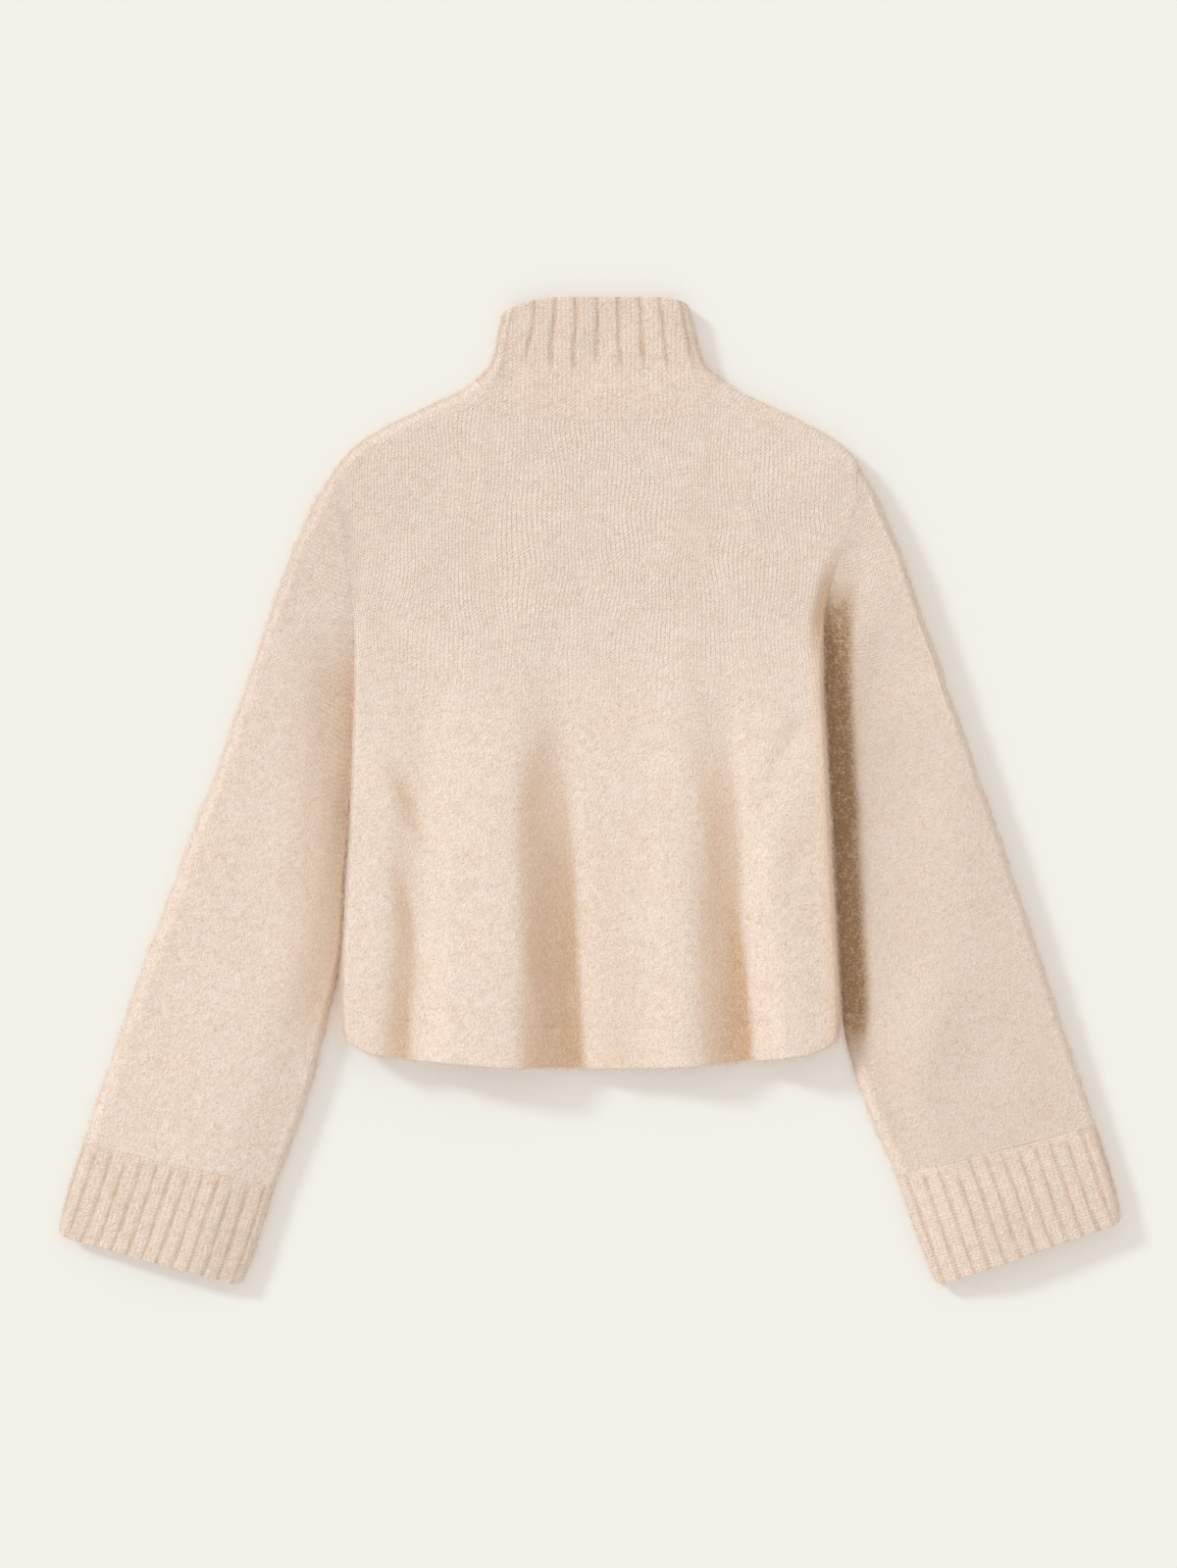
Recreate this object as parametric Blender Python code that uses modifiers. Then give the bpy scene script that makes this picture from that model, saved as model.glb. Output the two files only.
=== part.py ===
"""Cropped cardigan with a high ribbed neck, laid out flat and face down, its back upwards.

Sizes are in millimetres. +X is towards the wearer's right sleeve, +Y towards the collar and +Z up off
the surface. Every panel is drawn as the outer face of its cloth, and its wall is laid on inwards.
"""

import math
from collections import namedtuple

import bmesh
import bpy
import numpy as np

MM = 0.001

# Cloth and seams
SEAM_GAP = 0.3
KNIT_WALL = 3.0
RIB_WALL = 4.0
HEM_WALL = 4.6
FACET = 1.2  # the flat strip along a side seam, so that both of its edges face each other squarely

# Heights of the parts of the body above the surface
SIDE_SEAM_HEIGHT = 8.5
COLLAR_HEIGHT = 16.0
SIDE_ROUND = 9.0  # how far in from the body's side its rounding starts

# Places on the body
NECK_X = 5.5
LEAN_END_Y = 268.0  # the centre line has reached the middle of the neck here
UNDERARM_Y = 0.0
HEM_CORNER_Y = -178.0
HEM_CENTRE_Y = -207.0
HALF_WIDTH = 185.0
FRONT_HEM_RISE = 4.0  # the fronts end this much above the back's hem
HEM_DEPTH = 0.15  # of the way from the hem's corner to the underarm
UNDERARM_BLEND = 22.0  # the fronts' side margin turns up over this length, below the underarm
SEAM_SHARE = 0.913  # how far up the armhole the shoulder seam ends
TIP_ROUND = 13.0
TIP_EASE = 1.4  # the sleeve stands this much further off the body as its seam turns over the tip
TIP_EASE_START = 0.72  # of the way up the armhole
TIP_EASE_END = 0.92
UPRIGHT_DROP = 6.0  # a side that falls by this much ends in an upright strip, a level one in a flat strip
FALL_POWER = 4  # the back stays level across and falls away near its sides

FOLD_ANGLES = (-60, -30, 0, 30, 60)
MARGIN = (32, 62, "strip", "seam")  # stations on the rounding at the body's side, outwards
SIGN = {"left": -1, "right": 1}

Side = namedtuple("Side", "y left right")
BODY_SIDE = [  # distance of the body's side from the centre line, hem to shoulder tip
    Side(-190, 183.0, 183.0),
    Side(-165, 185.0, 184.5),
    Side(-140, 183.5, 182.5),
    Side(-93, 180.0, 180.0),
    Side(-35, 177.0, 177.2),
    Side(0, 175.5, 175.5),
    Side(40, 173.0, 173.0),
    Side(80, 171.5, 171.3),
    Side(120, 172.3, 172.5),
    Side(150, 176.5, 177.0),
    Side(181, 184.5, 187.0),
    Side(218, 190.5, 197.0),
]

Hem = namedtuple("Hem", "out y")
HEM_EDGE = [  # the hem bows down towards the centre back and rounds off at the side seams
    Hem(0, HEM_CENTRE_Y),
    Hem(55, -206.0),
    Hem(112, -201.0),
    Hem(148, -195.5),
    Hem(166, -191.5),
    Hem(175, -188.5),
    Hem(181, -184.0),
    Hem(185, -178.0),
]

Shoulder = namedtuple("Shoulder", "out fold_y seam_y fold_round")
SHOULDER = [  # by distance from the middle of the neck: fold line, seam behind it, reach of the fold
    Shoulder(84, 309.0, 290.0, 9.0),
    Shoulder(92, 306.5, 288.0, 9.0),
    Shoulder(102, 299.5, 284.0, 9.0),
    Shoulder(120, 291.0, 276.5, 9.0),
    Shoulder(137, 283.0, 269.5, 9.0),
    Shoulder(158, 272.5, 259.5, 9.5),
    Shoulder(178, 260.5, 246.0, 10.5),
    Shoulder(189, 250.5, 233.0, 12.0),
    Shoulder(196, 241.0, 220.0, 13.0),
]

Neck = namedtuple("Neck", "out back_y front_out front_y")
NECK = [  # by distance from the middle of the neck: the neck seam at the back and at the front
    Neck(0.0, 276.0, 0.0, 247.0),
    Neck(20.0, 276.3, 20.0, 248.5),
    Neck(40.0, 277.0, 40.0, 253.5),
    Neck(58.0, 278.8, 58.0, 262.0),
    Neck(71.0, 281.2, 73.0, 274.0),
    Neck(79.0, 284.8, 84.0, 286.0),
    Neck(84.0, 290.0, 90.0, 297.5),
]
NECK_FOLD_OUT = 92.0  # how far out the neck seam is where it crosses the shoulder fold
NECK_FOLD_END_OUT = 86.0  # and where it comes down behind the fold

Rise = namedtuple("Rise", "y height side_fall folded")
RISE = [  # height of the back without its flutes, fall towards the sides, share of the flutes
    Rise(HEM_CENTRE_Y, 24.0, 4.0, 1.0),
    Rise(-150, 23.5, 4.0, 0.95),
    Rise(-100, 22.5, 3.5, 0.86),
    Rise(-40, 21.0, 3.0, 0.68),
    Rise(0, 20.0, 2.5, 0.52),
    Rise(50, 18.5, 2.0, 0.28),
    Rise(90, 17.2, 1.6, 0.12),
    Rise(135, 16.2, 1.2, 0.0),
    Rise(200, 15.2, 1.0, 0.0),
    Rise(310, 15.2, 0.6, 0.0),
]

Fold = namedtuple("Fold", "x_yoke x_hem height")
FOLDS = [  # crests and troughs of the back, left to right, with their height at the hem
    Fold(-178, -182, 17.0),
    Fold(-150, -158, 21.0),
    Fold(-126, -136, 19.0),
    Fold(-96, -102, 25.0),
    Fold(-64, -62, 28.0),
    Fold(-24, -5, 11.5),
    Fold(-8, 7, 14.5),
    Fold(34, 38, 18.0),
    Fold(62, 72, 22.5),
    Fold(98, 122, 12.5),
    Fold(109, 132, 17.5),
    Fold(128, 146, 21.5),
    Fold(176, 182, 16.0),
]
FOLDS_START_Y = 120.0

Armhole = namedtuple("Armhole", "share seam_z")
ARMHOLE = [  # height of the armhole seam, from the underarm up to the shoulder tip
    Armhole(0.00, 9.0),
    Armhole(0.35, 9.0),
    Armhole(0.50, 9.5),
    Armhole(0.62, 11.0),
    Armhole(0.75, 13.2),
    Armhole(0.90, 14.0),
    Armhole(1.00, 14.0),
]

Ring = namedtuple("Ring", "share outer_x outer_y inner_x inner_y crown outer_fold inner_fold reach")
SLEEVE = {  # armhole to cuff: outer and inner edge, crown, heights of both folds, reach of the outer
    "left": [
        Ring(0.00, 190.5, 241.0, 175.7, 0.0, 14.0, 14.0, 9.0, 13.0),
        Ring(0.08, 211.5, 203.5, 177.4, -24.0, 17.0, 13.0, 9.0, 10.0),
        Ring(0.20, 233.0, 143.0, 179.3, -60.0, 18.5, 12.5, 9.5, 8.0),
        Ring(0.40, 267.0, 41.5, 183.6, -120.0, 19.0, 12.0, 10.0, 7.0),
        Ring(0.60, 305.0, -59.0, 199.6, -180.0, 18.5, 11.5, 10.5, 7.0),
        Ring(0.80, 342.0, -160.5, 214.4, -236.5, 17.0, 11.5, 11.0, 7.0),
        Ring(1.00, 377.0, -261.0, 235.8, -293.8, 15.5, 12.0, 12.0, 7.0),
    ],
    "right": [
        Ring(0.00, 197.0, 246.0, 175.7, 0.0, 14.0, 14.0, 9.0, 13.0),
        Ring(0.08, 216.5, 209.0, 177.4, -24.0, 17.0, 13.0, 9.0, 10.0),
        Ring(0.20, 237.0, 149.5, 179.3, -60.0, 18.5, 12.5, 9.5, 8.0),
        Ring(0.40, 272.0, 50.0, 182.9, -118.0, 19.0, 12.0, 10.0, 7.0),
        Ring(0.60, 306.5, -49.0, 188.5, -178.0, 18.5, 11.5, 10.5, 7.0),
        Ring(0.80, 340.5, -148.5, 204.0, -232.0, 17.0, 11.5, 11.0, 7.0),
        Ring(1.00, 374.0, -248.0, 227.0, -285.5, 15.5, 12.0, 12.0, 7.0),
    ],
}
CUFF = {
    "left": [
        Ring(0.00, 377.0, -261.0, 235.8, -293.8, 15.5, 12.0, 12.0, 7.0),
        Ring(0.50, 387.6, -295.5, 247.2, -331.0, 16.5, 13.0, 13.0, 8.0),
        Ring(1.00, 395.5, -330.0, 260.0, -368.4, 15.0, 12.0, 12.0, 7.0),
    ],
    "right": [
        Ring(0.00, 374.0, -248.0, 227.0, -285.5, 15.5, 12.0, 12.0, 7.0),
        Ring(0.50, 386.0, -283.5, 241.5, -327.0, 16.5, 13.0, 13.0, 8.0),
        Ring(1.00, 395.5, -320.0, 256.5, -368.4, 15.0, 12.0, 12.0, 7.0),
    ],
}
SLEEVE_GAP = 0.8 * SEAM_GAP  # from the line of the body's side
CUFF_GAP = 1.5 * SEAM_GAP
SLEEVE_SHARES = (0.0, 0.035, 0.08, 0.14, 0.22, 0.32, 0.44, 0.58, 0.72, 0.86, 1.0)
CUFF_SHARES = (0.0, 0.5, 1.0)
SLEEVE_START = 0.12  # the sleeve's crown is full at this share of its length
INNER_REACH = 5.0
CROWN_POWER = 0.8  # under 1, so the crown is flatter in the middle than an arch

BACK_ARM_SHARES = (0.12, 0.25, 0.38, 0.5, 0.62, 0.73, 0.83)
FRONT_ARM_SHARES = (0.2, 0.4, 0.6, 0.8)
BODY_SHARES = (1.0, 1 - HEM_DEPTH, 0.98 - HEM_DEPTH, 0.62, 0.42, 0.23, 0.09, 0.0)
SHOULDER_OUTS = (102, 120, 137, 158)  # columns shared by the back and the fronts
TOP_Y = 225  # the panels' widths no longer change above this

Collar = namedtuple("Collar", "share narrowing")
COLLAR = [  # seam to top edge: how much of the flare at its base is gone
    Collar(0.0, 0.0),
    Collar(0.14, 0.62),
    Collar(0.35, 0.92),
    Collar(0.7, 1.0),
    Collar(1.0, 1.0),
]
COLLAR_TOP_OUT = 73.0
COLLAR_TOP_BACK = 368.4
COLLAR_TOP_FRONT = 340.0
COLLAR_TOP_SIDE = 361.0
COLLAR_TOP_POWER = 4  # the top edge stays level across and drops near its ends
COLLAR_ROUND = 8.0
COLLAR_LEVEL_AT = 0.5  # of the way up, the collar is at its own height
COLLAR_GAP = 0.4
COLLAR_GAP_AT_SHOULDER = 0.8
COLLAR_SHOULDER_OUT = 60.0

OATMEAL = (0.775, 0.651, 0.533, 1.0)
OATMEAL_SHADE = (0.741, 0.610, 0.479, 1.0)


def read(table, key, column, at):
    """A column's value anywhere along the key column, on a smooth curve that keeps between its rows."""
    keys = np.array([getattr(row, key) for row in table], float)
    values = np.array([getattr(row, column) for row in table], float)
    at = min(max(at, keys[0]), keys[-1])
    steps = np.diff(keys)
    slopes = np.diff(values) / steps
    tangents = np.concatenate([slopes[:1], np.zeros(len(slopes) - 1), slopes[-1:]])
    for i in range(1, len(slopes)):
        if slopes[i - 1] * slopes[i] > 0:
            tangents[i] = 2 * slopes[i - 1] * slopes[i] / (slopes[i - 1] + slopes[i])
    i = min(int(np.searchsorted(keys, at, side="right")) - 1, len(steps) - 1)
    t = (at - keys[i]) / steps[i]
    rise = values[i + 1] - values[i]
    bend_in = tangents[i] * steps[i] - rise
    bend_out = rise - tangents[i + 1] * steps[i]
    return values[i] + t * rise + t * (1 - t) * ((1 - t) * bend_in + t * bend_out)


def mix(a, b, share):
    return a + (b - a) * share


def ease(share):
    """0 to 1 with level ends."""
    share = min(max(share, 0.0), 1.0)
    return share * share * (3 - 2 * share)


def fold(reach, height, degrees):
    """(inset, z) on cloth that turns over at a fold, from -90 degrees below to 90 above."""
    angle = math.radians(degrees)
    return reach * (1 - math.cos(angle)), height * (1 + math.sin(angle)) / 2


def flute_height(x, y):
    """Height of the back where its flutes are full, on a curve through the crests and troughs at y."""
    share = (FOLDS_START_Y - y) / (FOLDS_START_Y - HEM_CENTRE_Y)
    share = min(max(share, 0.0), 1.0)
    here = [Fold(None, mix(f.x_yoke, f.x_hem, share), f.height) for f in FOLDS]
    return read(here, "x_hem", "height", x)


def cloth_top(x, y):
    """Height of the outer face of the body's upper layer."""
    side_fall = read(RISE, "y", "side_fall", y) * abs(x / HALF_WIDTH) ** FALL_POWER
    plain = read(RISE, "y", "height", y) - side_fall
    return mix(plain, flute_height(x, y), read(RISE, "y", "folded", y))


def side_x(side, y):
    return SIGN[side] * read(BODY_SIDE, "y", side, y)


def tip(side):
    """The shoulder tip, where the armhole seam crosses the fold."""
    ring = SLEEVE[side][0]
    return ring.outer_x, ring.outer_y


def centre_x(y):
    """The centre line leans from the middle of the hem to the middle of the neck."""
    return NECK_X * ease((y - HEM_CENTRE_Y) / (LEAN_END_Y - HEM_CENTRE_Y))


def shoulder(side, x, column):
    return read(SHOULDER, "out", column, abs(x - NECK_X))


def side_rows(side, arm_shares, top_y):
    """How far up the panel each row is at its side edge, from 0 at the hem to 1 at its top."""
    drop = UNDERARM_Y - HEM_CORNER_Y
    heights = [UNDERARM_Y - share * drop for share in BODY_SHARES]
    heights += [share * tip(side)[1] for share in arm_shares]
    return [(y - HEM_CORNER_Y) / (top_y - HEM_CORNER_Y) for y in heights] + [1.0]


def seam_height(side, y):
    """Height of the back's side edge: the armhole seam, and the side seam below the underarm."""
    if y >= UNDERARM_Y:
        return read(ARMHOLE, "share", "seam_z", y / tip(side)[1])
    below = ease((UNDERARM_Y - y) / UNDERARM_BLEND)
    return mix(ARMHOLE[0].seam_z, SIDE_SEAM_HEIGHT + SEAM_GAP / 2, below)


def margin_point(side, y, station, top_z, edge_z):
    """(x, z) on the rounding at the body's side: its angle, or "strip" and "seam" at its outer end."""
    edge = side_x(side, y)
    if y > UNDERARM_Y - UNDERARM_BLEND:
        edge -= SIGN[side] * SEAM_GAP / 2
    drop = top_z - edge_z
    upright = ease(abs(drop) / UPRIGHT_DROP)
    strip = math.copysign(FACET * upright, drop)
    if station == "seam":
        return edge, edge_z
    if station == "strip":
        return edge - SIGN[side] * FACET * (1 - upright), edge_z + strip
    angle = math.radians(station)
    inset = mix(FACET * (1 - upright), SIDE_ROUND, 1 - math.sin(angle))
    return edge - SIGN[side] * inset, edge_z + strip + (drop - strip) * math.cos(angle)


def back_columns():
    """Stations across the back: side rounding, shoulder, neck, shoulder, side rounding."""
    left, right = (side_x(s, TOP_Y) - SIGN[s] * SIDE_ROUND for s in ("left", "right"))
    outs = [row.out for row in NECK[1:]] + list(SHOULDER_OUTS)
    places = [NECK_X - out for out in reversed(outs)] + [NECK_X] + [NECK_X + out for out in outs]
    shares = [0.0, *((x - left) / (right - left) for x in places), 1.0]
    left_margin = [("left", station) for station in reversed(MARGIN)]
    right_margin = [("right", station) for station in MARGIN]
    return left_margin + [("main", share) for share in shares] + right_margin


def back_top(x):
    """The back's upper boundary: the neck seam between the two shoulder seams."""
    out = abs(x - NECK_X)
    if out <= NECK[-1].out:
        return read(NECK, "out", "back_y", out)
    return read(SHOULDER, "out", "seam_y", out)


def back_point(column, row):
    where, station = column

    def across(y):
        if where != "main":
            return margin_point(where, y, station, 1, 0)[0]
        ends = [side_x(side, y) - SIGN[side] * SIDE_ROUND for side in ("left", "right")]
        return mix(*ends, station)

    hem_y = read(HEM_EDGE, "out", "y", abs(across(HEM_CORNER_Y)))
    y = mix(hem_y, back_top(across(TOP_Y)), row)
    if where == "main":
        x = across(y)
        return x, y, cloth_top(x, y)
    inner_x = side_x(where, y) - SIGN[where] * SIDE_ROUND
    x, z = margin_point(where, y, station, cloth_top(inner_x, y), seam_height(where, y))
    return x, y, z


def front_columns(side):
    """Stations from the centre front out to the side: neck, shoulder, side rounding."""
    width = abs(side_x(side, TOP_Y) - NECK_X) - SIDE_ROUND
    neck = [("neck", row.front_out / width) for row in NECK[:-1]]
    neck_end = [("neck end", NECK[-1].front_out / width)]
    shoulder_line = [("shoulder", out / width) for out in SHOULDER_OUTS] + [("shoulder", 1.0)]
    return neck + neck_end + shoulder_line + [("side", station) for station in MARGIN]


def front_rows(side):
    """Stations up the front: chest, shoulder fold, and the seam behind it."""
    chest = side_rows(side, FRONT_ARM_SHARES, tip(side)[1] - TIP_ROUND)
    over = [("fold", angle) for angle in (*FOLD_ANGLES, 90)]
    return [("chest", share) for share in chest] + over + [("seam", 0)]


def front_across(side, column, y):
    where, station = column
    if where == "side":
        return margin_point(side, y, station, 0, -1)[0]
    end = side_x(side, y) - SIGN[side] * SIDE_ROUND
    start = centre_x(y) + SIGN[side] * SEAM_GAP / 2
    return mix(start, end, station)


def chest_point(side, column, share):
    """A point of one front where it lies on the surface, below the shoulder fold."""
    where, station = column
    top_x = front_across(side, column, TOP_Y)
    if where in ("neck", "neck end"):
        top_y = read(NECK, "front_out", "front_y", abs(top_x - NECK_X))
    else:
        top_y = shoulder(side, top_x, "fold_y") - shoulder(side, top_x, "fold_round")
    hem_out = abs(front_across(side, column, HEM_CORNER_Y))
    hem_y = read(HEM_EDGE, "out", "y", hem_out) + FRONT_HEM_RISE
    y = mix(hem_y, top_y, share)
    if where != "side":
        return front_across(side, column, y), y, 0.0
    turned = ease((UNDERARM_Y - y) / UNDERARM_BLEND)
    x, z = margin_point(side, y, station, 0, (SIDE_SEAM_HEIGHT - SEAM_GAP / 2) * turned)
    return x, y, z


def front_point(side, column, row):
    """A point of one front, or None beyond its neck edge."""
    where = column[0]
    over, place = row
    if over == "chest":
        return chest_point(side, column, place)
    if where == "neck":
        return None
    x = front_across(side, column, TOP_Y)
    if where == "neck end":
        x = NECK_X + SIGN[side] * (neck_fold_out(place) if over == "fold" else NECK[-1].out)
    if over == "seam":
        y = shoulder(side, x, "seam_y") + 2 * SEAM_GAP
        return x, y, ARMHOLE[-1].seam_z if where == "side" else cloth_top(x, y)
    reach = shoulder(side, x, "fold_round")
    fold_y = shoulder(side, x, "fold_y")
    height = ARMHOLE[-1].seam_z if where == "side" else cloth_top(x, fold_y - reach)
    inset, z = fold(reach, height, place)
    return x, fold_y - inset, z


def neck_fold_out(degrees):
    """How far from the middle of the neck its seam is as it goes over the shoulder fold."""
    start, end = NECK[-1].front_out, NECK_FOLD_END_OUT
    bulge = NECK_FOLD_OUT - (start + end) / 2
    return mix(start, end, (degrees + 90) / 180) + bulge * math.cos(math.radians(degrees))


def collar_stations():
    """Round the neck from the centre front: left front, left fold, back, right fold, right front."""
    left_front = [("front", "left", row.front_out) for row in NECK]
    left_fold = [("fold", "left", angle) for angle in (*FOLD_ANGLES, 90)]
    left_back = [("back", "left", row.out) for row in reversed(NECK[1:])]
    right = [(kind, "right", value) for kind, _, value in reversed(left_front + left_fold + left_back)]
    return left_front + left_fold + left_back + [("back", "right", 0.0)] + right


def collar_seam(kind, side, value):
    """Where the collar is sewn on, as (out, y, z)."""
    if kind == "front":
        return value, read(NECK, "front_out", "front_y", value), 0.0
    if kind == "back":
        y = read(NECK, "out", "back_y", value)
        return value, y, cloth_top(NECK_X + SIGN[side] * value, y)
    out = neck_fold_out(value)
    x = NECK_X + SIGN[side] * out
    reach = shoulder(side, x, "fold_round")
    fold_y = shoulder(side, x, "fold_y")
    inset, z = fold(reach, cloth_top(x, fold_y - reach), value)
    return out, fold_y - inset, z


def collar_point(station, share_up):
    kind, side, value = station
    out, seam_y, seam_z = collar_seam(*station)
    if kind == "fold":
        inset, top_z = fold(COLLAR_ROUND, COLLAR_HEIGHT, value)
        top_out, top_y = COLLAR_TOP_OUT - inset, COLLAR_TOP_SIDE
    else:
        widest = NECK[-1].front_out if kind == "front" else NECK[-1].out
        share = value / widest
        top_out = share * (COLLAR_TOP_OUT - COLLAR_ROUND)
        centre_y = COLLAR_TOP_FRONT if kind == "front" else COLLAR_TOP_BACK
        top_y = mix(centre_y, COLLAR_TOP_SIDE, share ** COLLAR_TOP_POWER)
        top_z = 0.0 if kind == "front" else COLLAR_HEIGHT
    if kind == "front" and value == 0:
        out = top_out = SEAM_GAP / 2
    at_shoulder = kind == "fold" or out > COLLAR_SHOULDER_OUT
    gap = COLLAR_GAP_AT_SHOULDER if at_shoulder else COLLAR_GAP
    up = mix(gap / (top_y - seam_y), 1.0, share_up)
    x = NECK_X + SIGN[side] * mix(out, top_out, read(COLLAR, "share", "narrowing", up))
    return x, mix(seam_y, top_y, up), mix(seam_z, top_z, ease(up / COLLAR_LEVEL_AT))


def tube_stations(side, front_shares, back_shares):
    """Round a sleeve or cuff: up its back from the inner fold, over the outer fold and home below."""
    stations = [("back", share) for share in back_shares]
    stations += [("outer", angle) for angle in reversed(FOLD_ANGLES)]
    stations += [("front", share) for share in reversed(front_shares)]
    stations += [("inner", angle) for angle in FOLD_ANGLES]
    stations.append(stations[0])
    return stations if side == "left" else stations[::-1]


def tube_point(rings, side, station, share, start_gap):
    """A point of a sleeve or cuff: round it by the station, along it by the share."""
    kind, value = station
    length = math.hypot(rings[-1].outer_x - rings[0].outer_x, rings[-1].outer_y - rings[0].outer_y)
    along = mix(start_gap / length, 1.0, share)
    ring = Ring(*(read(rings, "share", name, along) for name in Ring._fields))
    outer = np.array([ring.outer_x, ring.outer_y])
    inner = np.array([ring.inner_x, ring.inner_y])
    width = np.linalg.norm(outer - inner)
    armhole = 1 - ease(along / SLEEVE_START) if rings is SLEEVE[side] else 0.0
    if kind == "outer":
        inset, z = fold(ring.reach, ring.outer_fold, value)
        across = 1 - inset / width
    elif kind == "inner":
        inset, z = fold(INNER_REACH, ring.inner_fold, value)
        across = inset / width
    else:
        start, end = INNER_REACH / width, 1 - ring.reach / width
        across = min(max(value, start), end)
        z = 0.0
    if kind == "back":
        share = (across - start) / (end - start)
        edge = mix(ring.inner_fold, ring.outer_fold, share)
        crown = max(ring.inner_fold, ring.outer_fold)
        z = edge + (ring.crown - crown) * math.sin(math.pi * share) ** CROWN_POWER
        z = mix(z, read(ARMHOLE, "share", "seam_z", across), armhole)
    x, y = mix(inner, outer, across)
    seam = side_x(side, y) * SIGN[side] + SLEEVE_GAP
    if kind == "outer":
        seam += TIP_EASE
    else:
        seam += TIP_EASE * ease((across - TIP_EASE_START) / (TIP_EASE_END - TIP_EASE_START))
    chord_at_armhole = mix(rings[0].inner_x, rings[0].outer_x, across)
    x += armhole * (seam - chord_at_armhole)
    return SIGN[side] * x, y, z


def knit_material(name, colour):
    material = bpy.data.materials.new(name)
    material.use_nodes = True
    shader = material.node_tree.nodes["Principled BSDF"]
    shader.inputs["Base Color"].default_value = colour
    shader.inputs["Roughness"].default_value = 0.95
    shader.inputs["Metallic"].default_value = 0.0
    material.diffuse_color = colour
    return material


def piece(name, columns, rows, place, wall, colour, hem_rows=()):
    """One piece of cloth: an open grid laid out by its form, with its wall put on inwards."""
    bm = bmesh.new()
    bmesh.ops.create_grid(bm, x_segments=len(columns) - 1, y_segments=len(rows) - 1, size=1)
    bm.verts.ensure_lookup_table()
    hem = bm.verts.layers.deform.new()
    spare = []
    for j, row in enumerate(rows):
        for i, column in enumerate(columns):
            vertex = bm.verts[j * len(columns) + i]
            point = place(column, row)
            if point is None:
                spare.append(vertex)
                continue
            vertex.co = [value * MM for value in point]
            vertex[hem][0] = 1.0 if row in hem_rows else 0.0
    bmesh.ops.delete(bm, geom=spare, context="VERTS")
    bmesh.ops.remove_doubles(bm, verts=bm.verts, dist=0.01 * MM)
    mesh = bpy.data.meshes.new(name)
    bm.to_mesh(mesh)
    bm.free()
    mesh.shade_smooth()
    mesh.materials.append(knit_material(name, colour))
    cloth = bpy.data.objects.new(name, mesh)
    cloth.vertex_groups.new(name="turned_hem")
    skin = cloth.modifiers.new("wall", "SOLIDIFY")
    skin.thickness = wall * MM
    skin.offset = -1
    skin.use_even_offset = True
    if hem_rows:
        skin.thickness = HEM_WALL * MM
        skin.vertex_group = "turned_hem"
        skin.thickness_vertex_group = wall / HEM_WALL
    return cloth


def build_back():
    rows = side_rows("left", BACK_ARM_SHARES, SEAM_SHARE * tip("left")[1])
    return piece("back", back_columns(), rows, back_point, KNIT_WALL, OATMEAL, rows[:2])


def build_front(side):
    columns = front_columns(side)
    if side == "right":
        columns = columns[::-1]
    rows = front_rows(side)

    def place(column, row):
        return front_point(side, column, row)

    return piece(f"front_{side}", columns, rows, place, KNIT_WALL, OATMEAL, rows[:2])


def build_tube(name, rings, side, shares, start_gap, wall, colour):
    back = (0.0, *BACK_ARM_SHARES, SEAM_SHARE, 1.0)
    front = (0.0, *FRONT_ARM_SHARES, 1.0)
    stations = tube_stations(side, front, back)

    def place(station, share):
        return tube_point(rings, side, station, share, start_gap)

    return piece(f"{name}_{side}", stations, shares, place, wall, colour)


def build_collar():
    shares = [row.share for row in COLLAR]
    return piece("collar", collar_stations(), shares, collar_point, RIB_WALL, OATMEAL_SHADE)


def main():
    for old in list(bpy.data.objects):
        bpy.data.objects.remove(old, do_unlink=True)
    collection = bpy.data.collections.new("cropped_cardigan")
    bpy.context.scene.collection.children.link(collection)
    pieces = [build_back(), build_collar()]
    for side in ("left", "right"):
        pieces.append(build_front(side))
        sleeve, cuff = SLEEVE[side], CUFF[side]
        pieces.append(build_tube("sleeve", sleeve, side, SLEEVE_SHARES, 0.0, KNIT_WALL, OATMEAL))
        pieces.append(build_tube("cuff", cuff, side, CUFF_SHARES, CUFF_GAP, RIB_WALL, OATMEAL_SHADE))
    for cloth in pieces:
        collection.objects.link(cloth)


main()
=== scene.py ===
import math

import bmesh
import bpy
import numpy as np
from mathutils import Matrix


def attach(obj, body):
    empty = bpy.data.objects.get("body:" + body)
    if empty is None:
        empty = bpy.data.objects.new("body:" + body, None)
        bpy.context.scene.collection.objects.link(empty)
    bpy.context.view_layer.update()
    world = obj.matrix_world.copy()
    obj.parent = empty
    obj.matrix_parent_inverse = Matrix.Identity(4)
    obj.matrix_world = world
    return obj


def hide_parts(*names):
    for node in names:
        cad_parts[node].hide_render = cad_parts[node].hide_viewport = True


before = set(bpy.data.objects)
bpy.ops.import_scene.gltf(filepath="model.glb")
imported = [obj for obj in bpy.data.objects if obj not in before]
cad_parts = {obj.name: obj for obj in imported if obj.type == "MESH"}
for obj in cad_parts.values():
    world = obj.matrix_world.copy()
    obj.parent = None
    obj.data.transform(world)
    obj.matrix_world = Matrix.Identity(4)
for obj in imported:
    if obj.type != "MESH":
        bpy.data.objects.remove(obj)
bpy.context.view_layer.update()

mm = 0.001
sign = {"left": -1, "right": 1}
chance = np.random.default_rng(41)

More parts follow.
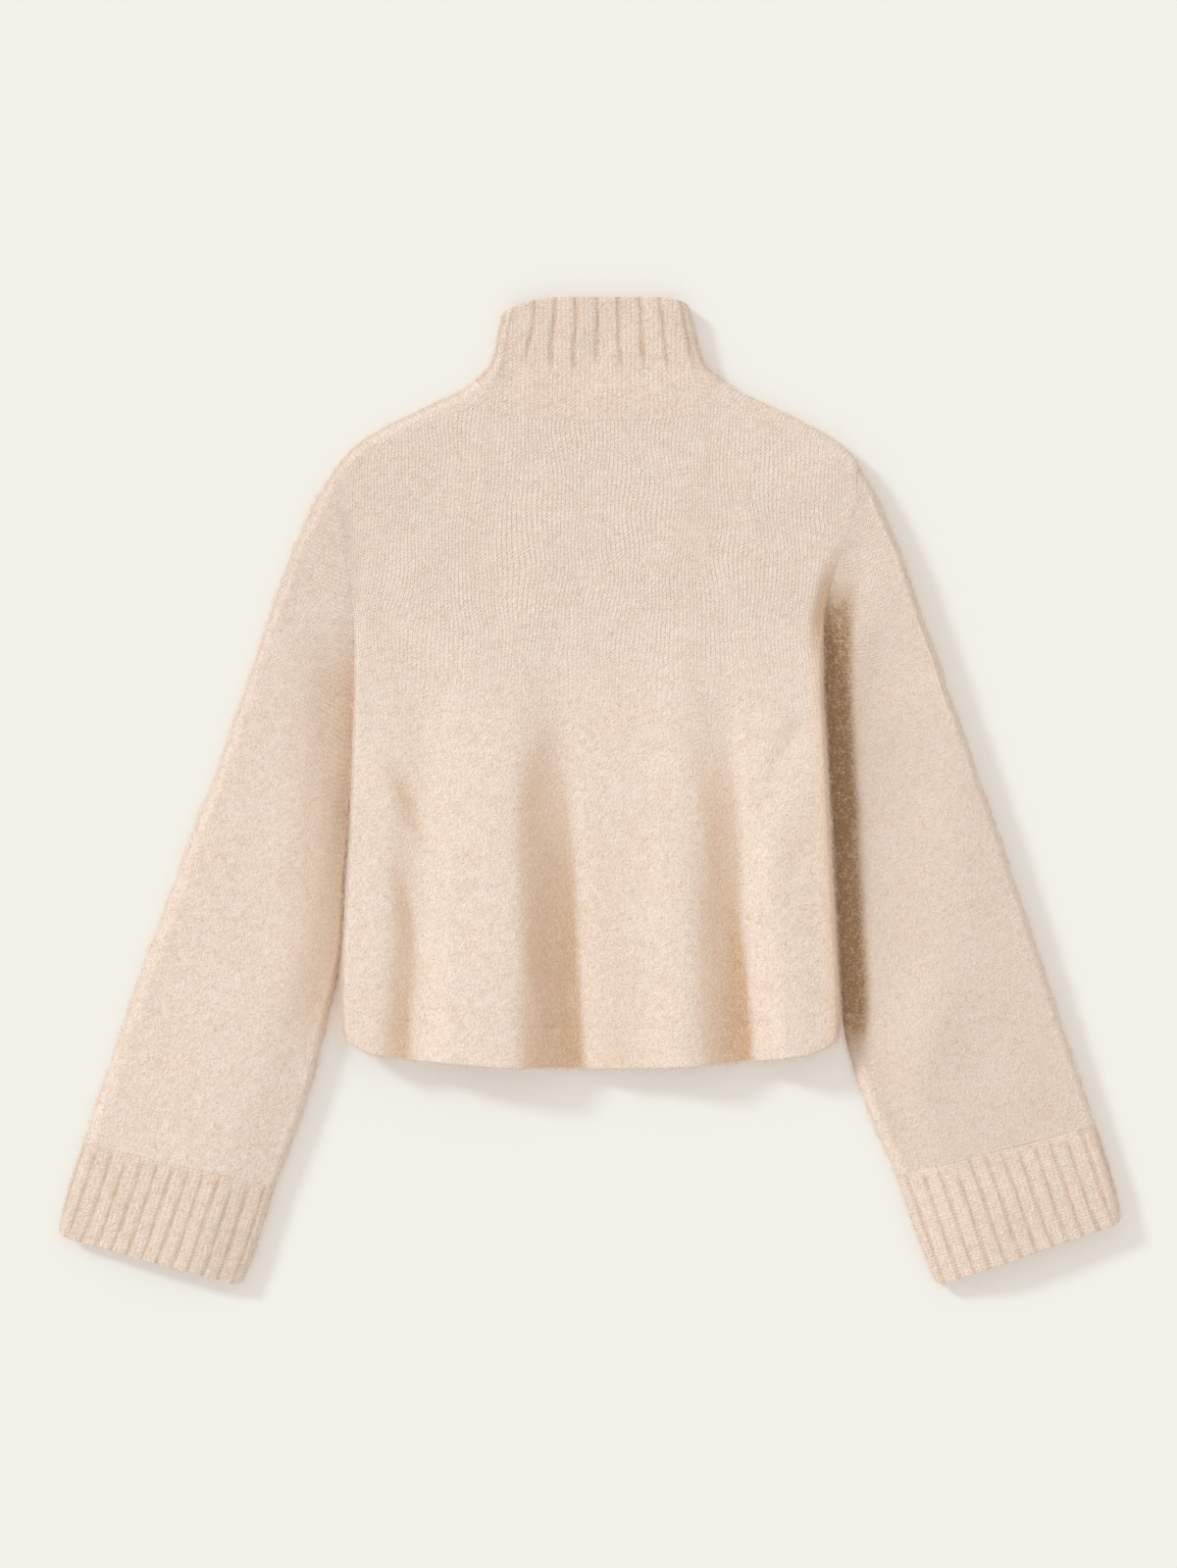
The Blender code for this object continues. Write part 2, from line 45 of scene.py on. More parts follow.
# how the garment lies, all in mm: +X to the right, +Y to the collar, +Z up
layout = {
    "neckX": 5.5,
    "leanEndY": 268.0,      # the centre line has reached the middle of the neck here
    "underarmY": 0.0,
    "hemCornerY": -178.0,
    "hemCentreY": -207.0,
    "halfWidth": 185.0,
    "frontHemRise": 4.0,    # the fronts end this much above the back's hem
    "sideSeamHeight": 8.5,
    "sideRound": {"left": 4.0, "right": 4.5},
    "seamGap": 0.04,
    "topY": 225.0,
    "underarmBlend": 22.0,
    "tipEase": 0.02,
    "facet": 1.2,
    "uprightDrop": 6.0,
    "fallPower": 4,
}

halfGap = layout["seamGap"] / 2

bodySide = {  # from the centre line out to the side, hem to shoulder tip
    "y":     [-190, -165, -140, -93, -35, 0, 40, 80, 120, 150, 181, 218],
    "left":  [183, 186, 186, 184, 180.5, 179, 177.5, 176.5, 177, 179, 184.5, 190.5],
    "right": [183, 185, 184, 181.5, 178.5, 177, 175, 173, 173, 177, 187, 197],
}
hemEdge = {
    "out": [0, 55, 112, 148, 158, 166, 175, 181, 185],
    "y":   [-207, -206, -202, -198.5, -197, -195, -191, -187, -182],
}
shoulder = {  # by distance from the middle of the neck
    "out":   [84, 92, 102, 120, 137, 158, 178, 189, 196],
    "foldY": [309, 306.5, 299.5, 291, 283, 272.5, 260.5, 250.5, 241],
    "seamY": [290, 288, 284, 276.5, 269.5, 259.5, 246, 233, 220],
    "round": [9, 9, 9, 9, 9, 9.5, 10.5, 12, 13],
}
neckSeam = {
    "out":      [0, 20, 40, 58, 71, 79, 84],
    "backY":    [276, 276.3, 277, 278.8, 281.2, 284.8, 290],
    "frontOut": [0, 20, 40, 58, 73, 84, 90],
    "frontY":   [247, 248.5, 253.5, 262, 274, 286, 297.5],
    "foldOut":  92.0,       # on the shoulder fold
    "foldEnd":  86.0,       # just behind it
}
rise = {  # height of the back without its flutes, and how much of the flutes shows
    "y":        [-207, -150, -100, -40, 0, 50, 90, 135, 200, 310],
    "height":   [24, 23.5, 22.5, 21, 20, 18.5, 17.2, 16.2, 15.2, 15.2],
    "sideFall": [2, 2, 1.5, 0.5, 0, 0, 0.4, 0.8, 1, 0.6],
    "folded":   [1, 0.95, 0.86, 0.68, 0.52, 0.28, 0.12, 0, 0, 0],
}
flutes = {  # crests and troughs of the back from left to right
    "startY": 120.0,
    "xYoke":  [-178, -150, -124, -96, -64, -24, -8, 34, 62, 98, 109, 128, 176],
    "xHem":   [-182, -158, -136, -102, -62, -5, 7, 38, 72, 122, 132, 146, 182],
    "height": [18, 21, 17.2, 25, 28, 11.5, 14.5, 18, 22.5, 12.5, 17.5, 22.5, 20.5],
}
armhole = {
    "share": [0, 0.35, 0.5, 0.62, 0.75, 0.9, 1],
    "left":  [11, 11.2, 12.4, 14.4, 14.8, 14.6, 14.4],
    "right": [5, 5.2, 6.8, 10.2, 14.2, 16.6, 17.2],
}
sleeveRings = {  # armhole to cuff
    "left": {
        "share":     [0, 0.08, 0.2, 0.4, 0.6, 0.8, 1],
        "outerX":    [190.5, 213, 235.5, 270, 308, 344.5, 378.5],
        "outerY":    [241, 203.5, 143, 41.5, -59, -160.5, -261],
        "innerX":    [179.1, 180.6, 183.2, 186.4, 199, 214.4, 235.8],
        "innerY":    [0, -24, -60, -120, -180, -236.5, -293.8],
        "crown":     [14.4, 14.5, 15, 15.5, 15.5, 15, 14.5],
        "outerFold": [14.4, 14, 13.2, 12.5, 12, 11.5, 11],
        "innerFold": [11, 11, 11.2, 11.5, 11.5, 10.5, 10],
        "reach":     [13, 13, 13, 13, 13, 12, 11],
    },
    "right": {
        "share":     [0, 0.08, 0.2, 0.4, 0.6, 0.8, 1],
        "outerX":    [197, 217.5, 239, 274, 308.5, 342, 375],
        "outerY":    [246, 209, 149.5, 50, -49, -148.5, -248],
        "innerX":    [177.1, 178.2, 180, 183.2, 188.5, 204, 227],
        "innerY":    [0, -24, -60, -118, -178, -232, -285.5],
        "crown":     [17.2, 17.6, 18.4, 19, 19, 18, 16.5],
        "outerFold": [17.2, 18, 18.4, 18, 17, 15.5, 14],
        "innerFold": [5, 5, 5, 5, 6, 8.5, 9.5],
        "reach":     [13, 10.5, 8.5, 8, 8, 8, 8],
    },
}
cuffRings = {
    "left": {
        "share":     [0, 0.5, 1],
        "outerX":    [378.5, 389.6, 398.2],
        "outerY":    [-261, -295.5, -330],
        "innerX":    [235.8, 247.2, 260],
        "innerY":    [-293.8, -331, -368.4],
        "crown":     [14.5, 14.5, 14],
        "outerFold": [11, 11, 10],
        "innerFold": [10, 10, 9.5],
        "reach":     [11, 10, 9],
    },
    "right": {
        "share":     [0, 0.5, 1],
        "outerX":    [375, 386.6, 395.8],
        "outerY":    [-248, -283.5, -320],
        "innerX":    [227, 241.5, 256.5],
        "innerY":    [-285.5, -327, -368.4],
        "crown":     [16.5, 16.5, 15.5],
        "outerFold": [14, 14, 13],
        "innerFold": [9.5, 10, 9.5],
        "reach":     [8, 8, 8],
    },
}

tubes = {
    "crownIn": 45.0,        # the crown's distance from the inner edge
    "innerReach": 7.0,      # of the inner fold
    "joinShare": 0.12,      # of the length, over which a sleeve takes up the body's shape
    "tipFrom": 0.72,        # across the armhole, where the tip's ease begins
    "tipOver": 0.2,
}
shoulderSink = {"fromY": 85.0, "over": 60.0, "left": 9.0, "right": 11.0}
besideBody = {  # how far out from the body the sleeve still lies low, and where it has risen
    "left": {
        "y":    [-300, -200, -120, 0, 120, 180, 240],
        "low":  [0, 0, 0, 0, 0, 0, 0],
        "high": [20, 34, 46, 50, 50, 40, 20],
        "soon": 3,  # how much sooner than evenly it rises
    },
    "right": {
        "y":    [-300, -200, -120, 0, 90, 150, 240],
        "low":  [0, 8, 18, 20, 17, 6, 0],
        "high": [24, 60, 100, 105, 95, 60, 20],
        "soon": 1,
    },
}


def curve(keys, values, at):
    # a smooth line through the rows that never overshoots them; a key may differ from place to place
    at = np.asarray(at, float)
    keys = np.array([np.broadcast_to(key, at.shape) for key in keys], float)
    values = np.array([np.broadcast_to(value, at.shape) for value in values], float)
    at = np.clip(at, keys[0], keys[-1])
    steps, rises = np.diff(keys, axis=0), np.diff(values, axis=0)
    slopes = rises / steps
    bends = slopes[:-1] * slopes[1:]
    inner = np.where(bends > 0, 2 * bends / np.where(bends > 0, slopes[:-1] + slopes[1:], 1), 0)
    tangents = np.concatenate([slopes[:1], inner, slopes[-1:]])
    i = np.clip((at >= keys).sum(axis=0) - 1, 0, len(steps) - 1)[None]

    def pick(rows):
        return np.take_along_axis(rows, i, axis=0)[0]

    step, climb = pick(steps), pick(rises)
    t = (at - pick(keys)) / step
    bendIn = pick(tangents) * step - climb
    bendOut = climb - pick(tangents[1:]) * step
    return pick(values) + t * climb + t * (1 - t) * ((1 - t) * bendIn + t * bendOut)


def look(table, key, column, at):
    return curve(table[key], table[column], at)


def mix(a, b, share):
    return a + (b - a) * share


def ease(share):
    share = np.clip(share, 0, 1)
    return share * share * (3 - 2 * share)


def unit(vectors):
    return vectors / np.maximum(np.linalg.norm(vectors, axis=-1, keepdims=True), 1e-12)


def waves(x, y, size, seed):
    # gentle unevenness between -1 and 1, from a few crossing waves about this long
    drawn = np.random.default_rng(seed)
    total = 0
    for turn in drawn.uniform(0, math.pi, 6):
        length = size * drawn.uniform(0.75, 1.5)
        distance = x * math.cos(turn) + y * math.sin(turn)
        total = total + np.sin(2 * math.pi * distance / length + drawn.uniform(0, 6.3))
    return total / 3.2


def creaseHeight(creases, x, y):
    # soft troughs and ridges that run from one place to another and fade out at both ends
    total = np.zeros(np.shape(x))
    for fromX, fromY, toX, toY, bow, width, height in zip(*creases.values()):
        dx, dy = toX - fromX, toY - fromY
        length = math.hypot(dx, dy)
        t = ((x - fromX) * dx + (y - fromY) * dy) / length**2
        inside = np.clip(t, 0, 1)
        off = ((y - fromY) * dx - (x - fromX) * dy) / length - bow * 4 * inside * (1 - inside)
        total = total + height * np.exp(-((off / width) ** 2)) * np.sin(math.pi * inside) ** 0.8
    return total


unevenness = {  # height, length and seed of the waves where cloth lies loose
    "back": ((0.3, 70, 3), (0.05, 18, 4)),
    "sleeve": ((0.35, 75, 21), (0.05, 18, 22)),
}


def looseHeight(name, x, y):
    return sum(height * waves(x, y, length, seed) for height, length, seed in unevenness[name])


def roundOver(reach, height, degrees):
    # how far in and how high cloth is as it turns over at a fold, -90 below to 90 above
    angle = np.radians(degrees)
    return reach * (1 - np.cos(angle)), height * (1 + np.sin(angle)) / 2


def sideX(side, y):
    return sign[side] * look(bodySide, "y", side, y)


def innerSide(side, y):
    # where the flat of the body ends and the rounding at its side begins
    return sideX(side, y) - sign[side] * layout["sideRound"][side]


def tipY(side):
    return sleeveRings[side]["outerY"][0]


def centreX(y):
    start = layout["hemCentreY"]
    return layout["neckX"] * ease((y - start) / (layout["leanEndY"] - start))


bodyCreases = {  # small drags below the arms and over the shoulders, dents in the flutes
    "fromX":  [-172, -168, 166, 170, -120, 118, -150, 100, -20, 60, -60, 20, 110],
    "fromY":  [58, 30, 66, 22, 236, 232, -40, -30, 60, 40, -100, 150, 215],
    "toX":    [-128, -112, 122, 118, -160, 160, -118, 128, -52, 92, -30, 66, 262],
    "toY":    [-28, -86, -22, -96, 160, 150, -170, -150, -60, -70, -190, 118, 262],
    "bow":    [4, 3, -4, -3, 5, -5, 2, 3, -3, 3, 2, 4, 0],
    "width":  [9, 11, 9, 11, 12, 12, 8, 7, 12, 11, 9, 16, 24],
    "height": [-1.3, 1.0, -1.3, 0.9, -0.7, -0.7, -0.9, 0.8, -0.8, 0.8, 0.8, -0.5, 2.4],
}


def bodyTop(x, y):
    share = np.clip((flutes["startY"] - y) / (flutes["startY"] - layout["hemCentreY"]), 0, 1)
    keys = [mix(a, b, share) for a, b in zip(flutes["xYoke"], flutes["xHem"])]
    fall = look(rise, "y", "sideFall", y) * np.abs(x / layout["halfWidth"]) ** layout["fallPower"]
    plain = look(rise, "y", "height", y) - fall
    height = mix(plain, curve(keys, flutes["height"], x), look(rise, "y", "folded", y))
    height = height + creaseHeight(bodyCreases, x, y) + looseHeight("back", x, y)
    for side in sign:
        inside = look(bodySide, "y", side, y) - sign[side] * x
        sink = ease((y - shoulderSink["fromY"]) / shoulderSink["over"])
        sink = sink * (1 - ease(inside / shoulderSink[side]))
        height = mix(height, look(armhole, "share", side, y / tipY(side)), sink)
    return height


hollowLook = {"columns": range(2, 15, 2), "leastRun": 6.0, "leeClimb": 0.42, "shutClimb": 0.3}


def hollows(x, z):
    # how far each place lies in the lee of the cloth to its left, and shut in between both sides
    steepest = {"toLeft": np.zeros(z.shape), "toRight": np.zeros(z.shape)}
    for shift in hollowLook["columns"]:
        climb = z[:, shift:] - z[:, :-shift]
        climb = climb / np.maximum(np.abs(x[:, shift:] - x[:, :-shift]), hollowLook["leastRun"])
        toLeft, toRight = steepest["toLeft"][:, shift:], steepest["toRight"][:, :-shift]
        np.maximum(toLeft, -climb, out=toLeft)
        np.maximum(toRight, climb, out=toRight)
    shut = np.minimum(steepest["toLeft"], steepest["toRight"])
    return ease(steepest["toLeft"] / hollowLook["leeClimb"]), ease(shut / hollowLook["shutClimb"])


def marginPlace(side, y, station, topZ, edgeZ):
    # x and z on the rounding at the body's side
    edge = sideX(side, y)
    besideSleeve = y > layout["underarmY"] - layout["underarmBlend"]
    edge = np.where(besideSleeve, edge - sign[side] * halfGap, edge)
    drop = topZ - edgeZ
    upright = ease(np.abs(drop) / layout["uprightDrop"])
    strip = np.copysign(layout["facet"] * upright, drop)
    if station == "seam":
        return edge, edgeZ + 0 * y
    if station == "strip":
        return edge - sign[side] * layout["facet"] * (1 - upright), edgeZ + strip
    angle = math.radians(station)
    inset = mix(layout["facet"] * (1 - upright), layout["sideRound"][side], 1 - math.sin(angle))
    climb = mix(1 - math.sin(angle), math.cos(angle), upright)
    return edge - sign[side] * inset, edgeZ + strip + (drop - strip) * climb


def seamHeight(side, y):
    below = ease((layout["underarmY"] - y) / layout["underarmBlend"])
    atSide = mix(armhole[side][0], layout["sideSeamHeight"] + halfGap, below)
    return np.where(y >= layout["underarmY"], look(armhole, "share", side, y / tipY(side)), atSide)


def backTopY(x):
    out = np.abs(x - layout["neckX"])
    underNeck = out <= neckSeam["out"][-1] + 1e-6  # with the column that ends exactly at the corner
    return np.where(underNeck, look(neckSeam, "out", "backY", out), look(shoulder, "out", "seamY", out))


def clearOfBody(side, x, y):
    # 0 where a sleeve lies low beside the body, 1 where it has risen to its full height
    rings, rows = sleeveRings[side], besideBody[side]
    innerEdge = np.interp(y, rings["innerY"][::-1], rings["innerX"][::-1])
    edge = np.maximum(look(bodySide, "y", side, y), innerEdge)
    low, high = (np.interp(y, rows["y"], rows[column]) for column in ("low", "high"))
    share = np.clip((np.abs(x) - edge - low) / (high - low), 0, 1)
    return ease(share) if rows["soon"] == 1 else 1 - (1 - share) ** rows["soon"]


def neckFoldOut(degrees):
    # how far out the neck seam is as it goes over the shoulder fold
    start, end = neckSeam["frontOut"][-1], neckSeam["foldEnd"]
    bulge = neckSeam["foldOut"] - (start + end) / 2
    return mix(start, end, (degrees + 90) / 180) + bulge * np.cos(np.radians(degrees))


# grids of cloth: rows by columns of places on the outer face

def outwards(places, closed=False):
    along = np.gradient(places, axis=0)
    if closed:
        ring = places[:, :-1]
        across = np.roll(ring, -1, axis=1) - np.roll(ring, 1, axis=1)
        across = np.concatenate([across, across[:, :1]], axis=1)
    else:
        across = np.gradient(places, axis=1)
    return unit(np.cross(across, along))


def cutPlaces(places, startColumn):
    # where each point is on the flat cut, from the lengths along the cloth
    across = np.nan_to_num(np.linalg.norm(np.diff(places, axis=1), axis=2))
    along = np.nan_to_num(np.linalg.norm(np.diff(places, axis=0), axis=2))
    u = np.concatenate([np.zeros((len(places), 1)), np.cumsum(across, axis=1)], axis=1)
    v = np.concatenate([np.zeros((1, places.shape[1])), np.cumsum(along, axis=0)])
    return np.stack([u - u[:, startColumn:startColumn + 1], v], axis=2)


def turnHem(outer, depths):
    # folds the cloth inwards along its first row; depths are the rows' distances above the fold
    normals = outwards(outer)
    down = unit(outer[0] - outer[1])
    bend = hemRows["bend"]
    turned = np.flatnonzero(depths <= hemRows["turned"])[::-1]
    rows = [outer[k] - 2 * bend * normals[k] for k in turned]
    for degrees in (-67.5, -45, -22.5, 0, 22.5, 45, 67.5):
        angle = math.radians(degrees)
        rows.append(outer[0] + bend * math.cos(angle) * down + bend * (math.sin(angle) - 1) * normals[0])
    return np.concatenate([np.array(rows), outer]), len(rows)


hemRows = {
    "bend": 2.3,
    "turned": 30.0,
    "linkLine": 30.0,     # above the fold at the centre
    "linkAtSide": 0.87,   # as much of that at the side seams
    "linkDepth": 0.2,
    "linkWidth": 1.0,
    "linkGaps": 0.6,
    "linkBeads": 0.25,
    "backDepths": [
        0, 3, 6, 9, 12, 15, 18, 21, 24, 26.5, 27.7, 28.5, 29.1, 29.6, 30,
        30.4, 30.9, 31.5, 32.3, 33.5, 36, 39.5, 43,
    ],
    "frontDepths": [0, 4, 8, 12, 16, 20, 24, 28, 31, 36, 41],
}
marginAngles = (14, 28, 41, 53, 65, 77)


def backColumnX(where, station, y):
    if where == "main":
        return mix(innerSide("left", y), innerSide("right", y), station)
    return marginPlace(where, y, station, 1.0, 0.0)[0]


def columnRows(x, depths, above, topY):
    # y of a column's rows: close together over the hem, then even up to its top
    low = look(hemEdge, "out", "y", abs(x)) + hemRows["bend"] + depths
    return np.concatenate([low, mix(low[-1], topY, above)])


def backGrid(spacing, length):
    ends = [innerSide(side, layout["topY"]) for side in sign]
    count = int(round((ends[1] - ends[0]) / spacing))
    stations = np.linspace(0, 1, count + 1)
    for side in sign:
        # the columns nearest the ends of the neck seam go exactly to them, so that no corner is cut off
        corner = (layout["neckX"] + sign[side] * neckSeam["out"][-1] - ends[0]) / (ends[1] - ends[0])
        stations[np.argmin(np.abs(stations - corner))] = corner
    leftEdge = [("left", station) for station in ("seam", "strip", *reversed(marginAngles))]
    rightEdge = [("right", station) for station in (*marginAngles, "strip", "seam")]
    columns = leftEdge + [("main", station) for station in stations] + rightEdge
    middleColumn = len(leftEdge) + count // 2
    depths = np.array(hemRows["backDepths"])
    above = np.linspace(0, 1, int(round(length / spacing)) + 1)[1:]
    grid = []
    for where, station in columns:
        hemX, topX = (backColumnX(where, station, layout[y]) for y in ("hemCornerY", "topY"))
        squeeze = mix(1, hemRows["linkAtSide"], min(abs(hemX) / layout["halfWidth"], 1) ** 2)
        y = columnRows(hemX, depths * squeeze, above, backTopY(topX))
        if where == "main":
            x = backColumnX(where, station, y)
            z = bodyTop(x, y)
        else:
            x, z = marginPlace(where, y, station, bodyTop(innerSide(where, y), y), seamHeight(where, y))
        grid.append(np.stack([x, y, z], axis=1))
    outer = np.array(grid).transpose(1, 0, 2)

    # the linked line above the hem, pressed in a little, with gaps of uneven length
    fromLink = np.concatenate([depths, np.full(len(above), 99.0)])[:, None] - hemRows["linkLine"]
    u, v = np.moveaxis(cutPlaces(outer, middleColumn), -1, 0)
    gaps = ease(0.5 + hemRows["linkGaps"] * waves(u, 0.2 * v, 34, 5))
    dash = gaps * (1 - hemRows["linkBeads"] * (1 - waves(u, 0 * v, 9, 6)))
    link = np.exp(-((fromLink / hemRows["linkWidth"]) ** 2)) * dash
    outer = outer - hemRows["linkDepth"] * link[..., None] * outwards(outer)
    places, turnedRows = turnHem(outer, depths)
    return places, turnedRows, middleColumn, link


frontCounts = {"neck": 20, "fold": 12, "behind": 3, "spread": 5}  # columns, rows, rows, columns


def frontGrid(side, spacing, length):
    # the chest, then the fold over the shoulder, then the strip behind it up to the seam;
    # the columns below the neck end there, and the rest of their rows is left out
    neckOut = neckSeam["frontOut"][-1]
    width = abs(sideX(side, layout["topY"]) - layout["neckX"]) - layout["sideRound"][side]
    neckOuts = np.linspace(0, neckOut, frontCounts["neck"] + 1)
    shoulderOuts = np.linspace(neckOut, width, int(round((width - neckOut) / spacing)) + 1)[1:]
    columns = [("chest", out) for out in (*neckOuts, *shoulderOuts)]
    columns += [("side", station) for station in (*marginAngles, "strip", "seam")]
    neckEnd = len(neckOuts) - 1
    depths = np.array(hemRows["frontDepths"], float)
    above = np.linspace(0, 1, int(round(length / spacing)) + 1)[1:]
    angles = np.linspace(-90, 90, frontCounts["fold"] + 1)[1:]
    behind = np.linspace(0, 1, frontCounts["behind"] + 1)[1:]

    def columnX(where, station, y):
        if where == "side":
            return marginPlace(side, y, station, 0.0, -1.0)[0]
        return mix(centreX(y) + sign[side] * halfGap, innerSide(side, y), station / width)

    grid = []
    for i, (where, station) in enumerate(columns):
        hemX, topX = (columnX(where, station, layout[y]) for y in ("hemCornerY", "topY"))
        out = abs(topX - layout["neckX"])
        foldY, reach = (look(shoulder, "out", column, out) for column in ("foldY", "round"))
        topY = look(neckSeam, "frontOut", "frontY", out) if i <= neckEnd else foldY - reach
        y = columnRows(hemX, layout["frontHemRise"] + depths, above, topY)
        if where == "side":
            turned = ease((layout["underarmY"] - y) / layout["underarmBlend"])
            edgeZ = (layout["sideSeamHeight"] - halfGap) * turned
            x, z = marginPlace(side, y, station, 0.0, edgeZ)
        else:
            x, z = columnX(where, station, y), 0 * y
        chest = np.stack([x, y, z], axis=1)
        over = np.full((len(angles) + len(behind), 3), np.nan)
        if i >= neckEnd:
            shift = (1 - ease((i - neckEnd) / frontCounts["spread"])) * (neckFoldOut(angles) - neckOut)
            foldX = topX + sign[side] * shift
            foldYs, reaches = (look(shoulder, "out", column, out + shift) for column in ("foldY", "round"))
            top = armhole[side][-1] if where == "side" else bodyTop(foldX, foldYs - reaches)
            inset, foldZ = roundOver(reaches, top, angles)
            corner = layout["neckX"] + sign[side] * neckSeam["out"][-1]
            seamX = mix(foldX[-1], corner if i == neckEnd else foldX[-1], behind)
            endY = look(shoulder, "out", "seamY", abs(seamX[-1] - layout["neckX"]))
            seamY = mix(foldYs[-1] - reaches[-1], endY + layout["seamGap"], behind)
            seamZ = np.full(len(behind), top) if where == "side" else bodyTop(seamX, seamY)
            pairs = (foldX, seamX), (foldYs - inset, seamY), (foldZ, seamZ)
            over = np.stack([np.concatenate(pair) for pair in pairs], axis=1)
        grid.append(np.concatenate([chest, over]))
    outer = np.array(grid).transpose(1, 0, 2)
    if side == "right":
        outer = outer[:, ::-1]
    places, turnedRows = turnHem(outer, depths)
    return places, turnedRows, 0 if side == "left" else places.shape[1] - 1


sleeveCreases = {
    "left": {  # the drag from the underarm, the soft roll beside the body, long shallow dents
        "fromX":  [-196, -190, -215, -255, -300, -230],
        "fromY":  [110, -10, 60, 110, -60, -150],
        "toX":    [-214, -204, -270, -316, -352, -300],
        "toY":    [-60, -170, -90, -60, -210, -250],
        "bow":    [3, 5, 4, -5, 4, 3],
        "width":  [9, 8, 13, 15, 13, 12],
        "height": [-0.8, 0.8, -0.6, 0.5, -0.5, 0.5],
    },
    "right": {
        "fromX":  [196, 192, 222, 262, 300, 240],
        "fromY":  [110, -20, 40, 120, -50, -140],
        "toX":    [214, 200, 272, 318, 346, 300],
        "toY":    [-60, -180, -110, -50, -200, -250],
        "bow":    [-3, -4, -4, 5, -4, -3],
        "width":  [9, 8, 14, 15, 13, 12],
        "height": [-0.6, 0.6, -0.6, 0.5, -0.5, 0.5],
    },
}


def tubeGrid(side, rings, shares, settings):
    # round the tube: over its back, round the outer fold, under its front and round the inner fold
    stations = [("back", share) for share in np.linspace(0, 1, settings["backCount"] + 1)]
    stations += [("outer", angle) for angle in reversed(settings["foldAngles"])]
    stations += [("front", share) for share in np.linspace(1, 0, settings["frontCount"] + 1)]
    stations += [("inner", angle) for angle in settings["foldAngles"]]
    stations.append(stations[0])
    if side == "right":
        stations = stations[::-1]
    length = math.dist(*((rings["outerX"][k], rings["outerY"][k]) for k in (0, -1)))
    along = mix(settings["gap"] / length, 1.0, shares)
    ring = {name: look(rings, "share", name, along) for name in rings}
    outerEnd = np.stack([ring["outerX"], ring["outerY"]], axis=1)
    innerEnd = np.stack([ring["innerX"], ring["innerY"]], axis=1)
    width = np.linalg.norm(outerEnd - innerEnd, axis=1)
    joinsBody = rings is sleeveRings[side]
    atBody = 1 - ease(along / tubes["joinShare"]) if joinsBody else 0 * along
    innerReach = tubes["innerReach"]
    start, end = innerReach / width, 1 - ring["reach"] / width
    grid, above = [], []
    for kind, value in stations:
        onTop = 0 * along
        if kind == "outer":
            inset, z = roundOver(ring["reach"], ring["outerFold"], value)
            across = 1 - inset / width
        elif kind == "inner":
            inset, z = roundOver(innerReach, ring["innerFold"], value)
            across = inset / width
        else:
            across = mix(start, end, value)
            z = 0 * along
        if kind == "back":
            keys = [innerReach, tubes["crownIn"], width - ring["reach"]]
            z = curve(keys, [ring["innerFold"], ring["crown"], ring["outerFold"]], across * width)
            onTop = max(math.sin(math.pi * value), 0) ** 0.5 * (1 - atBody)
        x = mix(innerEnd[:, 0], outerEnd[:, 0], across)
        y = mix(innerEnd[:, 1], outerEnd[:, 1], across)
        seam = look(bodySide, "y", side, y) + layout["seamGap"]
        eased = 1.0 if kind == "outer" else ease((across - tubes["tipFrom"]) / tubes["tipOver"])
        chord = mix(rings["innerX"][0], rings["outerX"][0], across)
        x = x + atBody * (seam + layout["tipEase"] * eased - chord)
        if kind == "back" and joinsBody:
            low = np.where(y > 0, look(armhole, "share", side, y / tipY(side)), ring["innerFold"])
            z = mix(low, np.maximum(z, low), clearOfBody(side, x, y))
        grid.append(np.stack([sign[side] * x, y, z], axis=1))
        above.append(onTop)
    return np.array(grid).transpose(1, 0, 2), np.array(above).T


collarShape = {
    "flat": (0.35, 0.10),
    "slot": "ribbed_knit",
    "spacing": 0.95,
    "rowSpacing": 2.5,
    "topOut": {"left": 71.0, "right": 66.5},
    "topBack": 368.4,
    "topFront": 340.0,
    "topSide": {"left": 360.5, "right": 365.5},
    "topPower": {"left": 4, "right": 8},
    "corner": 3.5,
    "length": 92.0,
    "height": 12.0,
    "risen": 0.5,           # it has its full height from here up
    "round": 7.0,
    "foldLength": 28.0,     # along the cloth round the side fold
    "dent": 1.2,
    "dentX": 25.0,
    "dentWidth": 30.0,
    "loose": 0.5,           # height of its unevenness
    "gap": 0.05,
    "ribs": 20,
    "ribDepth": 0.55,
    "valleyWidth": 1.75,
    "ribsFromY": 309.0,
    "ribsFullY": 327.0,
    "ribsBend": 0.08,       # the ribs on the left lean to and fro by this share of a rib
    "ribsBendX": -48.0,
    "ribsBendWidth": 26.0,
    "ribsSway": 0.035,
    "ribsWaver": 0.022,
    "flatFrom": 57.0,       # out from the middle, on the left
    "flatOver": 7.0,
    "flatLoses": 0.85,
    "bare": 1.0,
    "fibres": 8000,
    "narrowing": {"share": [0, 0.17, 0.35, 0.6, 1], "gone": [0, 0.46, 0.65, 0.78, 1]},
}


